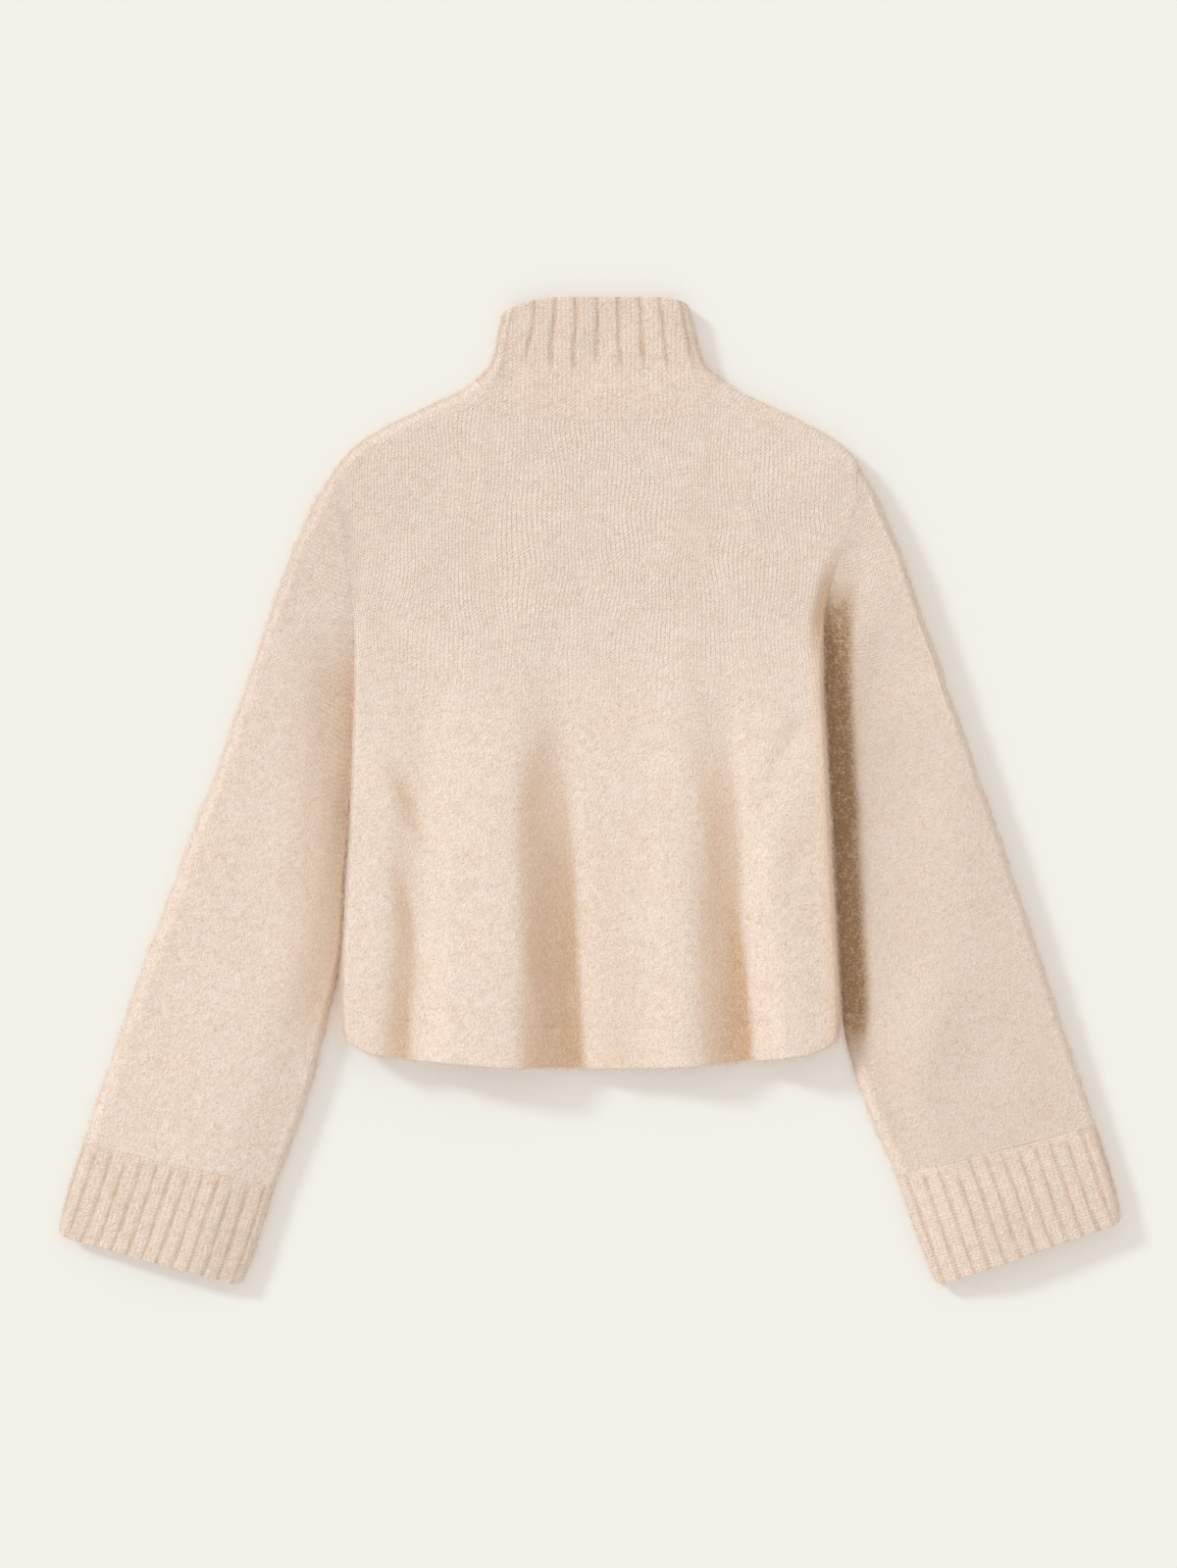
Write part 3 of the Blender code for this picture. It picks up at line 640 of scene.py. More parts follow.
def collarGrid():
    # all the way round from the centre front, each column from the neck seam up to the top edge
    spacing = collarShape["spacing"]
    frontEnd, backEnd = neckSeam["frontOut"][-1], neckSeam["out"][-1]
    half = [("front", out) for out in np.linspace(0, frontEnd, int(frontEnd / spacing) + 1)]
    foldCount = int(round(collarShape["foldLength"] / spacing))
    half += [("fold", angle) for angle in np.linspace(-90, 90, foldCount + 1)[1:-1]]
    half += [("back", out) for out in np.linspace(backEnd, 0, int(backEnd / spacing) + 1)]
    stations = [("left", *station) for station in half] + [("right", *station) for station in half[-2::-1]]
    rows = np.linspace(0, 1, int(collarShape["length"] / collarShape["rowSpacing"]) + 1)
    grid = []
    for side, kind, value in stations:
        if kind == "front":
            out, seamZ = value, 0.0
            seamY = look(neckSeam, "frontOut", "frontY", value)
        elif kind == "back":
            out = value
            seamY = look(neckSeam, "out", "backY", value)
            seamZ = bodyTop(layout["neckX"] + sign[side] * value, seamY)
        else:
            out = neckFoldOut(value)
            reach, foldY = (look(shoulder, "out", column, out) for column in ("round", "foldY"))
            top = bodyTop(layout["neckX"] + sign[side] * out, foldY - reach)
            inset, seamZ = roundOver(reach, top, value)
            seamY = foldY - inset
        if kind == "fold":
            inset, topZ = roundOver(collarShape["round"], collarShape["height"], value)
            topOut = collarShape["topOut"][side] - inset
            topY = collarShape["topSide"][side] - collarShape["corner"] * np.cos(np.radians(value)) ** 2
        else:
            share = value / (frontEnd if kind == "front" else backEnd)
            topOut = share * (collarShape["topOut"][side] - collarShape["round"])
            centreY = collarShape["topFront"] if kind == "front" else collarShape["topBack"]
            topY = mix(centreY, collarShape["topSide"][side], share ** collarShape["topPower"][side])
            topZ = 0.0 if kind == "front" else collarShape["height"]
        if kind == "front" and value == 0:
            out = topOut = halfGap
        up = mix(collarShape["gap"] / (topY - seamY), 1.0, rows)
        narrowed = look(collarShape["narrowing"], "share", "gone", up)
        x = layout["neckX"] + sign[side] * mix(out, topOut, narrowed)
        y = mix(seamY, topY, up)
        z = mix(seamZ, topZ, ease(up / collarShape["risen"]))
        if kind == "back":
            fromDent = (x - collarShape["dentX"]) / collarShape["dentWidth"]
            dent = collarShape["dent"] * np.exp(-(fromDent ** 2)) * ease(up)
            z = z + (collarShape["loose"] * waves(x, y, 40, 8) - dent) * ease(up * 3)
        grid.append(np.stack([x, y, z], axis=1))
    return np.array(grid).transpose(1, 0, 2), rows


rimShadeLook = {  # painted shade on folds that face the window: none where the cloth lies flat or faces down
    "towards": (-0.81, 0.59),  # the window's direction
    "strength": 0.55,
    "flat": 0.99,
    "flatOver": 0.3,
    "under": -0.15,
    "underOver": 0.5,
}


def paintedRimShadeAt(places, closed=False):
    # painted shade along folds that face the window, cooler and darker than the yarn, to dim their lit sides
    x, y, z = np.moveaxis(np.nan_to_num(outwards(places, closed)), -1, 0)
    facing = (rimShadeLook["towards"][0] * x + rimShadeLook["towards"][1] * y) / np.maximum(np.hypot(x, y), 0.05)
    steep = ease((rimShadeLook["flat"] - z) / rimShadeLook["flatOver"])
    steep = steep * ease((z - rimShadeLook["under"]) / rimShadeLook["underOver"])
    return rimShadeLook["strength"] * ease(facing) * steep


# from grids to pieces

wall = {"knit": 2.1, "rib": 2.6, "bevel": 0.9, "bevelCuts": 3, "creaseAngle": 55, "merge": 0.004}


def addObject(name, data):
    made = bpy.data.objects.new(name, data)
    bpy.context.scene.collection.objects.link(made)
    return made


def fillMesh(mesh, bm):
    bm.to_mesh(mesh)
    bm.free()
    return mesh


def clothPiece(name, places, cut, fields, kind, freeRows=(), freeColumns=(), closed=False):
    # a grid in the cloth's form, given its wall inwards, with its free edges rounded over
    rows, columns = places.shape[:2]
    bm = bmesh.new()
    bmesh.ops.create_grid(bm, x_segments=columns - 1, y_segments=rows - 1, size=1)
    bm.verts.ensure_lookup_table()
    cutMap = bm.loops.layers.uv.new("cut")
    fields = {field: np.broadcast_to(values, (rows, columns)).reshape(-1) for field, values in fields.items()}
    layers = {field: bm.verts.layers.float.new(field) for field in (*fields, "freeEdge")}
    flat, flatCut = places.reshape(-1, 3) * mm, cut.reshape(-1, 2) * mm
    leftOut = []
    for k, vertex in enumerate(bm.verts):
        if np.isnan(flat[k, 0]):
            leftOut.append(vertex)
            continue
        vertex.co = flat[k]
        for field, values in fields.items():
            vertex[layers[field]] = values[k]
        vertex[layers["freeEdge"]] = float(k // columns in freeRows or k % columns in freeColumns)
    for face in bm.faces:
        for loop in face.loops:
            loop[cutMap].uv = flatCut[loop.vert.index]
    bmesh.ops.delete(bm, geom=leftOut, context="VERTS")
    if closed:
        bmesh.ops.remove_doubles(bm, verts=bm.verts, dist=wall["merge"] * mm)
    piece = addObject(name, fillMesh(bpy.data.meshes.new(name), bm))
    skin = piece.modifiers.new("wall", "SOLIDIFY")
    skin.thickness = wall[kind] * mm
    skin.offset = -1
    evaluated = piece.evaluated_get(bpy.context.evaluated_depsgraph_get())
    whole = bpy.data.meshes.new_from_object(evaluated)
    piece.modifiers.clear()
    bm = bmesh.new()
    bm.from_mesh(whole)
    bpy.data.meshes.remove(whole)
    free = bm.verts.layers.float["freeEdge"]
    for face in bm.faces:
        face.smooth = True
    sharp = math.radians(wall["creaseAngle"])
    rims = [edge for edge in bm.edges if len(edge.link_faces) == 2 and edge.calc_face_angle(0) > sharp]
    freeRims = [edge for edge in rims if edge.verts[0][free] + edge.verts[1][free] > 1.5]
    for edge in set(rims) - set(freeRims):
        edge.smooth = False  # butted seams: each side keeps its own slope up to the seam
    if freeRims:
        bmesh.ops.bevel(
            bm, geom=freeRims, offset=wall["bevel"] * mm, affect="EDGES",
            segments=wall["bevelCuts"], profile=0.5, material=-1, clamp_overlap=True,
        )
    fillMesh(piece.data, bm)
    return piece


def colour(code):
    channels = [int(code[k:k + 2], 16) / 255 for k in (1, 3, 5)]
    return (*[c / 12.92 if c <= 0.04045 else ((c + 0.055) / 1.055) ** 2.4 for c in channels], 1.0)


def addNode(tree, kind, settings=None, inputs=()):
    # inputs come in order, or by name or number: each is a value, a colour's code or a node's output
    node = tree.nodes.new("ShaderNode" + kind)
    for name, value in (settings or {}).items():
        setattr(node, name, value)
    for name, value in inputs.items() if isinstance(inputs, dict) else enumerate(inputs):
        if isinstance(value, bpy.types.NodeSocket):
            tree.links.new(node.inputs[name], value)
        else:
            node.inputs[name].default_value = colour(value) if isinstance(value, str) else value
    return node.outputs


def clothMaterial(name, settings, fibreColour=None):
    # the knit itself, or one plain colour for its loose fibres
    material = bpy.data.materials.new(name)
    material.use_nodes = True
    tree = material.node_tree
    tree.nodes.clear()
    face = {"Base Color": fibreColour} if fibreColour else knitFace(tree, settings)
    shader = addNode(tree, "BsdfPrincipled", None, {
        **face,
        "Roughness": settings["roughness"],
        "IOR": settings["ior"],
        "Specular IOR Level": settings["gloss"],
        "Sheen Weight": settings["sheen"],
        "Sheen Roughness": settings["sheenRoughness"],
        "Sheen Tint": settings["sheenColour"],
    })
    addNode(tree, "OutputMaterial", None, {"Surface": shader[0]})
    return material


# Brushed alpaca and wool in stocking stitch: soft pinkish oat yarn under a pale lying nap,
# which gives the eye fine slanting cream streaks with the stitch columns faint between them.
brushedStocking = {
    "name": "alpacaWoolBrushedStockingStitch",
    "roughness": 0.92,
    "ior": 1.55,
    "gloss": 0.15,
    "sheen": 0.10,
    "sheenRoughness": 0.5,
    "sheenColour": "#FFF3E4",
    "oat": "#EADBCD",
    "pink": "#ECDBD0",
    "peach": "#EBD7C2",
    "cream": "#F7EEE4",
    "shade": "#C7AB91",
    "warm": "#E0C4A6",       # between the tufts of the nap
    "valleyAndPaintedShade": "#FAD8AE",     # painted shade deep in a fold, beside the body or between two ribs
    "paintedShadeAndLinkLine": "#B6AEA2",       # darker painted shade deep in folds, beside the body and over the right sleeve, and the darker linked line above the hem
    "paintedRimShade": "#CECBC8",       # painted shade on folds that face the window, dimming their lit sides
    "wale": 3.1,             # one stitch column, in mm as all sizes here
    "course": 2.5,
    "slant": 0.55,           # of the stitch's two strands, as a share of a course
    "stitchShow": 1.7,
    "strandShow": 0.3,
    "pinholeShow": 0.85,
    "swayOver": 75,          # the columns wander sideways this gently
    "swayBy": 26,
    "fibreWidth": 1.25,      # real fibres are finer; these are as coarse as they need to be to show
    "fibreLength": 4.0,
    "fibreTurn": 24,
    "fibreCurl": 0.7,
    "grain": 1.7,
    "tuft": 5.5,
    "patch": 16,
    "worn": 22,
    "broadPatch": 60,
    "peachShow": 0.4,
    "tuftWarm": 0.30,
    "tuftPale": 0.20,
    "darkShow": 0.16,
    "paleShow": 0.20,
    "grainShow": 0.36,
    "valleyGrain": 2.4,      # how much the grain and the tufts break up the painted shade of folds
    "valleyTufts": 1.5,
    "bump": 0.7,
    "bumpDepth": 0.9,
}
# The same yarn in a 2 by 2 rib: rounder, more even columns, with painted shade in their valleys.
brushedRib = dict(
    brushedStocking,
    name="alpacaWoolBrushedRib",
    oat="#E9D9CA",
    pink="#ECD8CB",
    wale=3.4,
    valleyAndPaintedShade="#E9E2DA",
    valleyGrain=2.2,
    stitchShow=1.19,
    swayBy=4,
    fibreLength=3.2,
    fibreTurn=36,
)


def knitFace(tree, settings):
    # the yarn's colour and relief, from the stitches up
    minus, times, over, timesPlus, most, part, size, wave = (
        {"operation": name}
        for name in ("SUBTRACT", "MULTIPLY", "DIVIDE", "MULTIPLY_ADD", "MAXIMUM", "FRACT", "ABSOLUTE", "SINE")
    )
    smooth = {"interpolation_type": "SMOOTHSTEP"}
    mixed, tinted = ({"data_type": "RGBA", "blend_type": way} for way in ("MIX", "MULTIPLY"))

    def add(kind, options=None, inputs=()):
        return addNode(tree, kind, options, inputs)[0]

    cutPlace = add("UVMap", {"uv_map": "cut"})
    place = addNode(tree, "TexCoord")["Object"]
    noises = {}
    for name, detail, roughness, curl in (
        ("grain", 2, 0.6, 0), ("tuft", 2.5, 0.62, 0.4), ("patch", 3, 0.65, 0),
        ("broadPatch", 2, 0.5, 0), ("worn", 2, 0.5, 0), ("swayOver", 1, 0.5, 0),
    ):
        inputs = {"Vector": place, "Scale": 1 / (settings[name] * mm), "Detail": detail}
        noises[name] = add("TexNoise", None, {**inputs, "Roughness": roughness, "Distortion": curl})
    grain, tufts = noises["grain"], noises["tuft"]

    # two lays of fibres that cross, and short flecks
    laid = []
    for turn, wider, longer, shift in (
        (settings["fibreTurn"], 1, 1, 0.3), (-settings["fibreTurn"], 1, 1, 0.9), (6, 1.1, 0.4, 1.7),
    ):
        along = add("Mapping", {"vector_type": "TEXTURE"}, {
            "Vector": cutPlace,
            "Location": (shift, shift / 2, 0),
            "Rotation": (0, 0, math.radians(turn)),
            "Scale": (settings["fibreWidth"] * wider * mm, settings["fibreLength"] * longer * mm, 1),
        })
        inputs = {"Vector": along, "Scale": 1.0, "Detail": 2.5, "Roughness": 0.62}
        inputs["Distortion"] = settings["fibreCurl"]
        laid.append(add("TexNoise", {"noise_dimensions": "2D"}, inputs))
    lays = add("Math", most, laid[:2])
    flecks = laid[2]

    # stitches: a V of two strands in each column, pinholes where the columns meet
    across, along = addNode(tree, "SeparateXYZ", None, [cutPlace])[:2]
    sway = add("Math", minus, [noises["swayOver"], 0.5])
    u = add("Math", timesPlus, [sway, settings["swayBy"] * mm, across])
    u = add("Math", part, [add("Math", over, [u, settings["wale"] * mm])])
    v = add("Math", over, [along, settings["course"] * mm])
    fromMiddle = add("Math", size, [add("Math", minus, [u, 0.5])])
    fromMiddle = add("Math", times, [fromMiddle, 2.0])
    turn = add("Math", times, [add("Math", timesPlus, [fromMiddle, settings["slant"], v]), 2 * math.pi])
    strand = add("Math", timesPlus, [add("Math", wave, [turn]), 0.5, 0.5])
    between = add("MapRange", smooth, [fromMiddle, 0.62, 1.0])
    pinhole = add("Math", times, [between, add("Math", minus, [1.0, strand])])
    bare = addNode(tree, "Attribute", {"attribute_name": "bare"})["Fac"]
    for limits in ([noises["worn"], 0.2, 0.6, 0.6, 1], [grain, 0.25, 0.7, 0, settings["stitchShow"]]):
        bare = add("Math", times, [bare, add("MapRange", smooth, limits)])

    # heather: three yarn colours in soft patches of several sizes, then tufts, fibres and grain on them
    yarn = settings["oat"]
    for pattern, low, high, show, tone in (
        (noises["patch"], 0.35, 0.68, 1, "pink"),
        (noises["broadPatch"], 0.48, 0.75, settings["peachShow"], "peach"),
        (tufts, 0.54, 0.34, settings["tuftWarm"], "warm"),
        (tufts, 0.48, 0.68, settings["tuftPale"], "cream"),
        (flecks, 0.50, 0.30, settings["darkShow"], "shade"),
        (lays, 0.50, 0.72, settings["paleShow"], "cream"),
        (grain, 0.47, 0.30, settings["grainShow"], "shade"),
        (grain, 0.54, 0.70, settings["grainShow"], "cream"),
    ):
        share = add("MapRange", smooth, [pattern, low, high, 0, show])
        yarn = addNode(tree, "Mix", mixed, {0: share, 6: yarn, 7: settings[tone]})[2]
    for pattern, show, tone in ((strand, "strandShow", "cream"), (pinhole, "pinholeShow", "shade")):
        share = add("Math", times, [add("Math", times, [pattern, bare]), settings[show]])
        yarn = addNode(tree, "Mix", mixed, {0: share, 6: yarn, 7: settings[tone]})[2]

    # painted shade in folds and beside the body, and the darker linked line, broken up by the grain and the
    # tufts; then painted shade on folds that face the window
    uneven = 1 - (settings["valleyGrain"] + settings["valleyTufts"]) / 2
    for pattern, show in ((grain, "valleyGrain"), (tufts, "valleyTufts")):
        uneven = add("Math", timesPlus, [pattern, settings[show], uneven])
    for name in ("valleyAndPaintedShade", "paintedShadeAndLinkLine", "paintedRimShade"):
        share = addNode(tree, "Attribute", {"attribute_name": name})["Fac"]
        share = share if name == "paintedRimShade" else add("Math", times, [share, uneven])
        yarn = addNode(tree, "Mix", tinted, {0: share, 6: yarn, 7: settings[name]})[2]

    # relief: the strands stand up, the pinholes and the lines between the columns lie low
    stitches = add("Math", times, [strand, 0.6])
    for pattern in (between, pinhole):
        stitches = add("Math", timesPlus, [pattern, -0.55, stitches])
    stitches = add("Math", times, [stitches, bare])
    height = 0
    for pattern, share in ((lays, 0.9), (flecks, 0.5), (grain, 1.5), (tufts, 1.0), (stitches, 0.65)):
        height = add("Math", timesPlus, [pattern, share, height])
    relief = add("Bump", None, {
        "Strength": settings["bump"], "Distance": settings["bumpDepth"] * mm, "Height": height,
    })
    return {"Base Color": yarn, "Normal": relief}


# Single alpaca fibres brushed out of the yarn: matt, pale, in the heather's own colours,
# one plain colour to a fibre, so that together they read as a soft bloom.
napTones = {  # share of the fibres, colour
    "alpacaFibreCream": (0.30, "#F1E8DD"),
    "alpacaFibreOat": (0.30, "#E9DACB"),
    "alpacaFibrePink": (0.20, "#E9D6CA"),
    "alpacaFibrePeach": (0.14, "#E4CDB6"),
    "alpacaFibreDeep": (0.06, "#D3BAA0"),
}
napLook = {
    "length": 5.2,
    "lengthSpread": 0.35,
    "lengths": (0.4, 2.0),  # the shortest and the longest, as shares of the length
    "width": 0.13,
    "widths": (0.55, 1.3),  # as shares of the width
    "atFolds": 4.0,         # how much thicker it stands where the cloth turns over
    "lift": (4, 46),        # degrees off the cloth at the root
    "curl": (10, 50),       # degrees back down by the tip
    "spread": 24,           # degrees either side of the columns
    "bend": 22,             # degrees that the tip turns from the root
    "wild": 0.12,           # share that lies any way
    "against": 0.3,         # share that points up the garment
    "rootDepth": 0.15,
    "lowest": 0.15,
}


def napPiece(name, places, thickness, count, lengthScale=1.0, lowest=napLook["lowest"], closed=False):
    # short curved fibres over a grid of cloth, each a thin closed spindle bent in the middle
    outer = outwards(places, closed)
    corner = places[:-1, :-1]
    sides = np.cross(places[:-1, 1:] - corner, places[1:, :-1] - corner)
    area = np.nan_to_num(np.linalg.norm(sides, axis=2)) * thickness[:-1, :-1]
    area = area * (1 + napLook["atFolds"] * (1 - np.abs(np.nan_to_num(outer[:-1, :-1, 2]))))
    shown = np.isfinite(outer).all(axis=2)
    area[~(shown[:-1, :-1] & shown[1:, 1:])] = 0
    cell = chance.choice(area.size, count, p=(area / area.sum()).reshape(-1))
    j, i = np.unravel_index(cell, area.shape)
    s, t = chance.random((2, count, 1))

    def between(grid):
        return mix(mix(grid[j, i], grid[j, i + 1], s), mix(grid[j + 1, i], grid[j + 1, i + 1], s), t)

    root, up = between(places), unit(between(outer))
    along = unit(places[j + 1, i] - places[j, i])
    along = unit(along - (along * up).sum(axis=1, keepdims=True) * up)
    side = np.cross(up, along)
    heading = np.radians(chance.normal(0, napLook["spread"], count))
    wild = chance.random(count) < napLook["wild"]
    heading = np.where(wild, chance.uniform(-math.pi, math.pi, count), heading)
    heading = heading + np.where(chance.random(count) < napLook["against"], 0, math.pi)
    turn = heading + np.radians(chance.normal(0, napLook["bend"], count))
    lift = np.radians(chance.uniform(*napLook["lift"], count))
    fall = lift - np.radians(chance.uniform(*napLook["curl"], count))
    longer = np.clip(chance.lognormal(0, napLook["lengthSpread"], count), *napLook["lengths"])
    half = (napLook["length"] * lengthScale * longer / 2)[:, None]

    def step(way, angle):
        flat = np.cos(way)[:, None] * along + np.sin(way)[:, None] * side
        return half * (np.cos(angle)[:, None] * flat + np.sin(angle)[:, None] * up)

    middle = root + step(heading, lift)
    tip = middle + step(turn, fall)
    run = unit(tip - root)
    across = unit(np.cross(run, up))
    upright = np.cross(run, across)
    thick = (napLook["width"] * chance.uniform(*napLook["widths"], count) / 2)[:, None]
    waist = [
        middle + thick * (math.cos(third) * across + math.sin(third) * upright) for third in (0, 2.09, 4.19)
    ]
    fibres = np.stack([root - napLook["rootDepth"] * up, *waist, tip], axis=1)
    fibres[..., 2] = np.maximum(fibres[..., 2], lowest + thick * np.array([0, 1, 1.8, 0.2, 1]))
    corners = ([1, 2, 4], [2, 3, 4], [3, 1, 4], [2, 1, 0], [3, 2, 0], [1, 3, 0])
    faces = np.concatenate([5 * np.arange(count)[:, None] + order for order in corners])
    mesh = bpy.data.meshes.new(name)
    mesh.from_pydata(fibres.reshape(-1, 3) * mm, [], faces)

    # each fibre's colour follows the patches of the heather
    patches = 0.55 * waves(root[:, 0], root[:, 1], 70, 11) + 0.45 * waves(root[:, 0], root[:, 1], 19, 12)
    order = np.argsort(np.argsort(0.55 * patches + chance.normal(0, 1, count))) / count
    shares = [share for share, _ in napTones.values()]
    tone = np.searchsorted(np.cumsum(shares)[:-1], order)
    for material in fibreMaterials:
        mesh.materials.append(material)
    mesh.polygons.foreach_set("material_index", np.tile(tone, len(corners)).astype(np.int32))
    mesh.validate()
    print(f"{name}: {count} fibres")
    return addObject(name, mesh)


def settle(piece, nap, node, settings):
    # gives the piece its material and hangs it and its nap on the root, in place of its CAD part
    piece.data.materials.append(cloths[settings["slot"]])
    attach(piece, "root")
    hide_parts(node)
    for each in nap:
        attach(each, "root")


def ribbedPiece(name, node, places, cut, phase, fade, pitch, settings, freeColumns=(), closed=False):
    # presses the purl valleys of a 2 by 2 rib into the cloth; phase counts ribs from column to column
    fromValley = np.abs((phase + 0.5) % 1 - 0.5) * pitch
    valleyAndPaintedShade = np.exp(-((fromValley / settings["valleyWidth"]) ** 2)) * fade
    places = places - (settings["ribDepth"] * valleyAndPaintedShade)[..., None] * outwards(places, closed)
    if closed:
        places[:, -1] = places[:, 0]
    places[..., 2] = np.maximum(places[..., 2], 0)
    # painted shade in the rib valleys, and on folds that face the window
    fields = {"bare": settings["bare"], "valleyAndPaintedShade": valleyAndPaintedShade, "paintedShadeAndLinkLine": 0, "paintedRimShade": paintedRimShadeAt(places, closed)}
    piece = clothPiece(f"rib{name}", places, cut, fields, "rib", (len(places) - 1,), freeColumns, closed)
    cover = np.where(places[..., 2] > 3, 1.0, 0.1) * (1 - 0.6 * valleyAndPaintedShade)
    nap = napPiece(f"nap{name}", places, cover, settings["fibres"], 0.75, closed=closed)
    settle(piece, [nap], node, settings)


cloths = {
    "brushed_knit": clothMaterial(brushedStocking["name"], brushedStocking),
    "ribbed_knit": clothMaterial(brushedRib["name"], brushedRib),
}
fibreMaterials = [clothMaterial(name, brushedStocking, code) for name, (share, code) in napTones.items()]
print("materials made")

# back

backPanel = {
    "flat": (0.40, 0.53),
    "area": 0.1945,
    "slot": "brushed_knit",
    "restsOn": ["knitFrontLeft", "knitFrontRight"],
    "spacing": 3.6,
    "length": 445.0,        # of the rows above the hem's
    "bareFromY": 20,        # the stitches show from here up
    "bareToY": 150,
    "fibresLower": 22000,
    "fibresUpper": 18000,
    "split": 0.48,
    "bareBelow": 0.12,
    "leeTint": 0.5328,      # painted shade in the troughs: in the lee, in their depth, shut in on both sides
    "lowTint": 0.629,
    "shutTint": 0.08,
    "lowDepth": 9.0,
    "facing": {"from": -0.1, "over": 0.24, "loses": 0.93},  # a trough's far side faces the window and loses its painted shade
    "rightEdgeShadeLook": {  # painted shade along the body's right edge, at the right sleeve
        "width": 16, "least": 0.35, "more": 0.3, "moreFromY": 80, "moreOver": 50, "toY": 195, "over": 60,
    },
    "darkShadeInFold": 0.38,
    "linkTint": 0.4,
    "sideInset": 8.0,
    "sideFade": 12.0,
    "upperLength": 0.85,    # of the yoke's fibres, as a share of the nap's full length
    "bareThins": 0.25,      # how much thinner the nap is where the stitches show
}

places, turnedRows, middleColumn, link = backGrid(backPanel["spacing"], backPanel["length"])
cut = cutPlaces(places, middleColumn)
x, y, z = np.moveaxis(places, -1, 0)
hidden = np.zeros((turnedRows, places.shape[1]))  # the turned-in part of the hem
bareShare = ease((y - backPanel["bareFromY"]) / (backPanel["bareToY"] - backPanel["bareFromY"]))
bare = mix(backPanel["bareBelow"], 1, bareShare)
# painted shade in the troughs of the flutes: in the lee of the cloth to the left, deep, or shut in
lee, shutIn = hollows(x[turnedRows:], z[turnedRows:])
low = ease((look(rise, "y", "height", y) - z - 1)[turnedRows:] / backPanel["lowDepth"])
paintedFoldShade = np.maximum(backPanel["leeTint"] * lee, backPanel["lowTint"] * low) + backPanel["shutTint"] * shutIn
climb = np.gradient(z[turnedRows:], axis=1) / np.maximum(np.gradient(x[turnedRows:], axis=1), 0.5)
facing = backPanel["facing"]
paintedFoldShade = paintedFoldShade * (1 - facing["loses"] * ease((climb - facing["from"]) / facing["over"]))
toSide = layout["halfWidth"] - backPanel["sideInset"]
paintedFoldShade = np.concatenate([hidden, paintedFoldShade]) * look(rise, "y", "folded", y) ** 0.5
paintedFoldShade = paintedFoldShade * ease((toSide - np.abs(x)) / backPanel["sideFade"])
# painted shade along the body's right edge beside the sleeve, stronger towards the shoulder
fold = backPanel["rightEdgeShadeLook"]
rightEdgeShade = fold["least"] + fold["more"] * ease((y - fold["moreFromY"]) / fold["moreOver"])
rightEdgeShade = rightEdgeShade * (1 - ease((sideX("right", y) - x) / fold["width"]))
rightEdgeShade = rightEdgeShade * ease((fold["toY"] - y) / fold["over"])
# painted shade on folds facing the window only at the body's sides
margin = 1 - ease((toSide - np.abs(x - 0.5 * centreX(y))) / 8)
link = np.concatenate([hidden, link])
fields = {
    "bare": bare,
    "valleyAndPaintedShade": np.clip(np.maximum(paintedFoldShade, rightEdgeShade), 0, 1),
    "paintedShadeAndLinkLine": backPanel["darkShadeInFold"] * paintedFoldShade + backPanel["linkTint"] * link * (0.2 + paintedFoldShade),
    "paintedRimShade": paintedRimShadeAt(places) * margin,
}
knitBack = clothPiece("knitBack", places, cut, fields, "knit")
outerRows = turnedRows - 5  # from about halfway round the fold
split = outerRows + int(backPanel["split"] * (len(places) - outerRows))
lower, upper = places[outerRows:split + 1], places[split:]
lowerCover, upperCover = np.ones(lower.shape[:2]), 1 - backPanel["bareThins"] * bare[split:]
napBack = [
    napPiece("napBackLower", lower, lowerCover, backPanel["fibresLower"]),
    napPiece("napBackUpper", upper, upperCover, backPanel["fibresUpper"], backPanel["upperLength"]),
]
settle(knitBack, napBack, "back", backPanel)
print("back made")

# fronts

frontPanels = {
    "flat": (0.20, 0.53),
    "area": 0.0965,
    "slot": "brushed_knit",
    "spacing": 5.0,
    "length": 400.0,
    "bare": 0.6,
    "fibres": 4000,
    "fibreLength": 0.9,     # as a share of the nap's full length
    "fibresReach": -0.35,   # this far under the chest, which lies on the surface
}

for side in sign:
    places, turnedRows, startColumn = frontGrid(side, frontPanels["spacing"], frontPanels["length"])
    cut = cutPlaces(places, startColumn)
    # the fronts get painted shade only on folds that face the window
    fields = {"bare": frontPanels["bare"], "valleyAndPaintedShade": 0, "paintedShadeAndLinkLine": 0, "paintedRimShade": paintedRimShadeAt(places)}
    piece = clothPiece(f"knitFront{side.title()}", places, cut, fields, "knit", freeColumns=(startColumn,))
    shown = places[turnedRows:]
    cover = np.where(np.nan_to_num(shown[..., 2]) > 2, 2.2, 0.6)
    nap = napPiece(
        f"napFront{side.title()}", shown, cover, frontPanels["fibres"],
        frontPanels["fibreLength"], lowest=frontPanels["fibresReach"],
    )
    settle(piece, [nap], f"front_{side}", frontPanels)
print("fronts made")

# sleeves

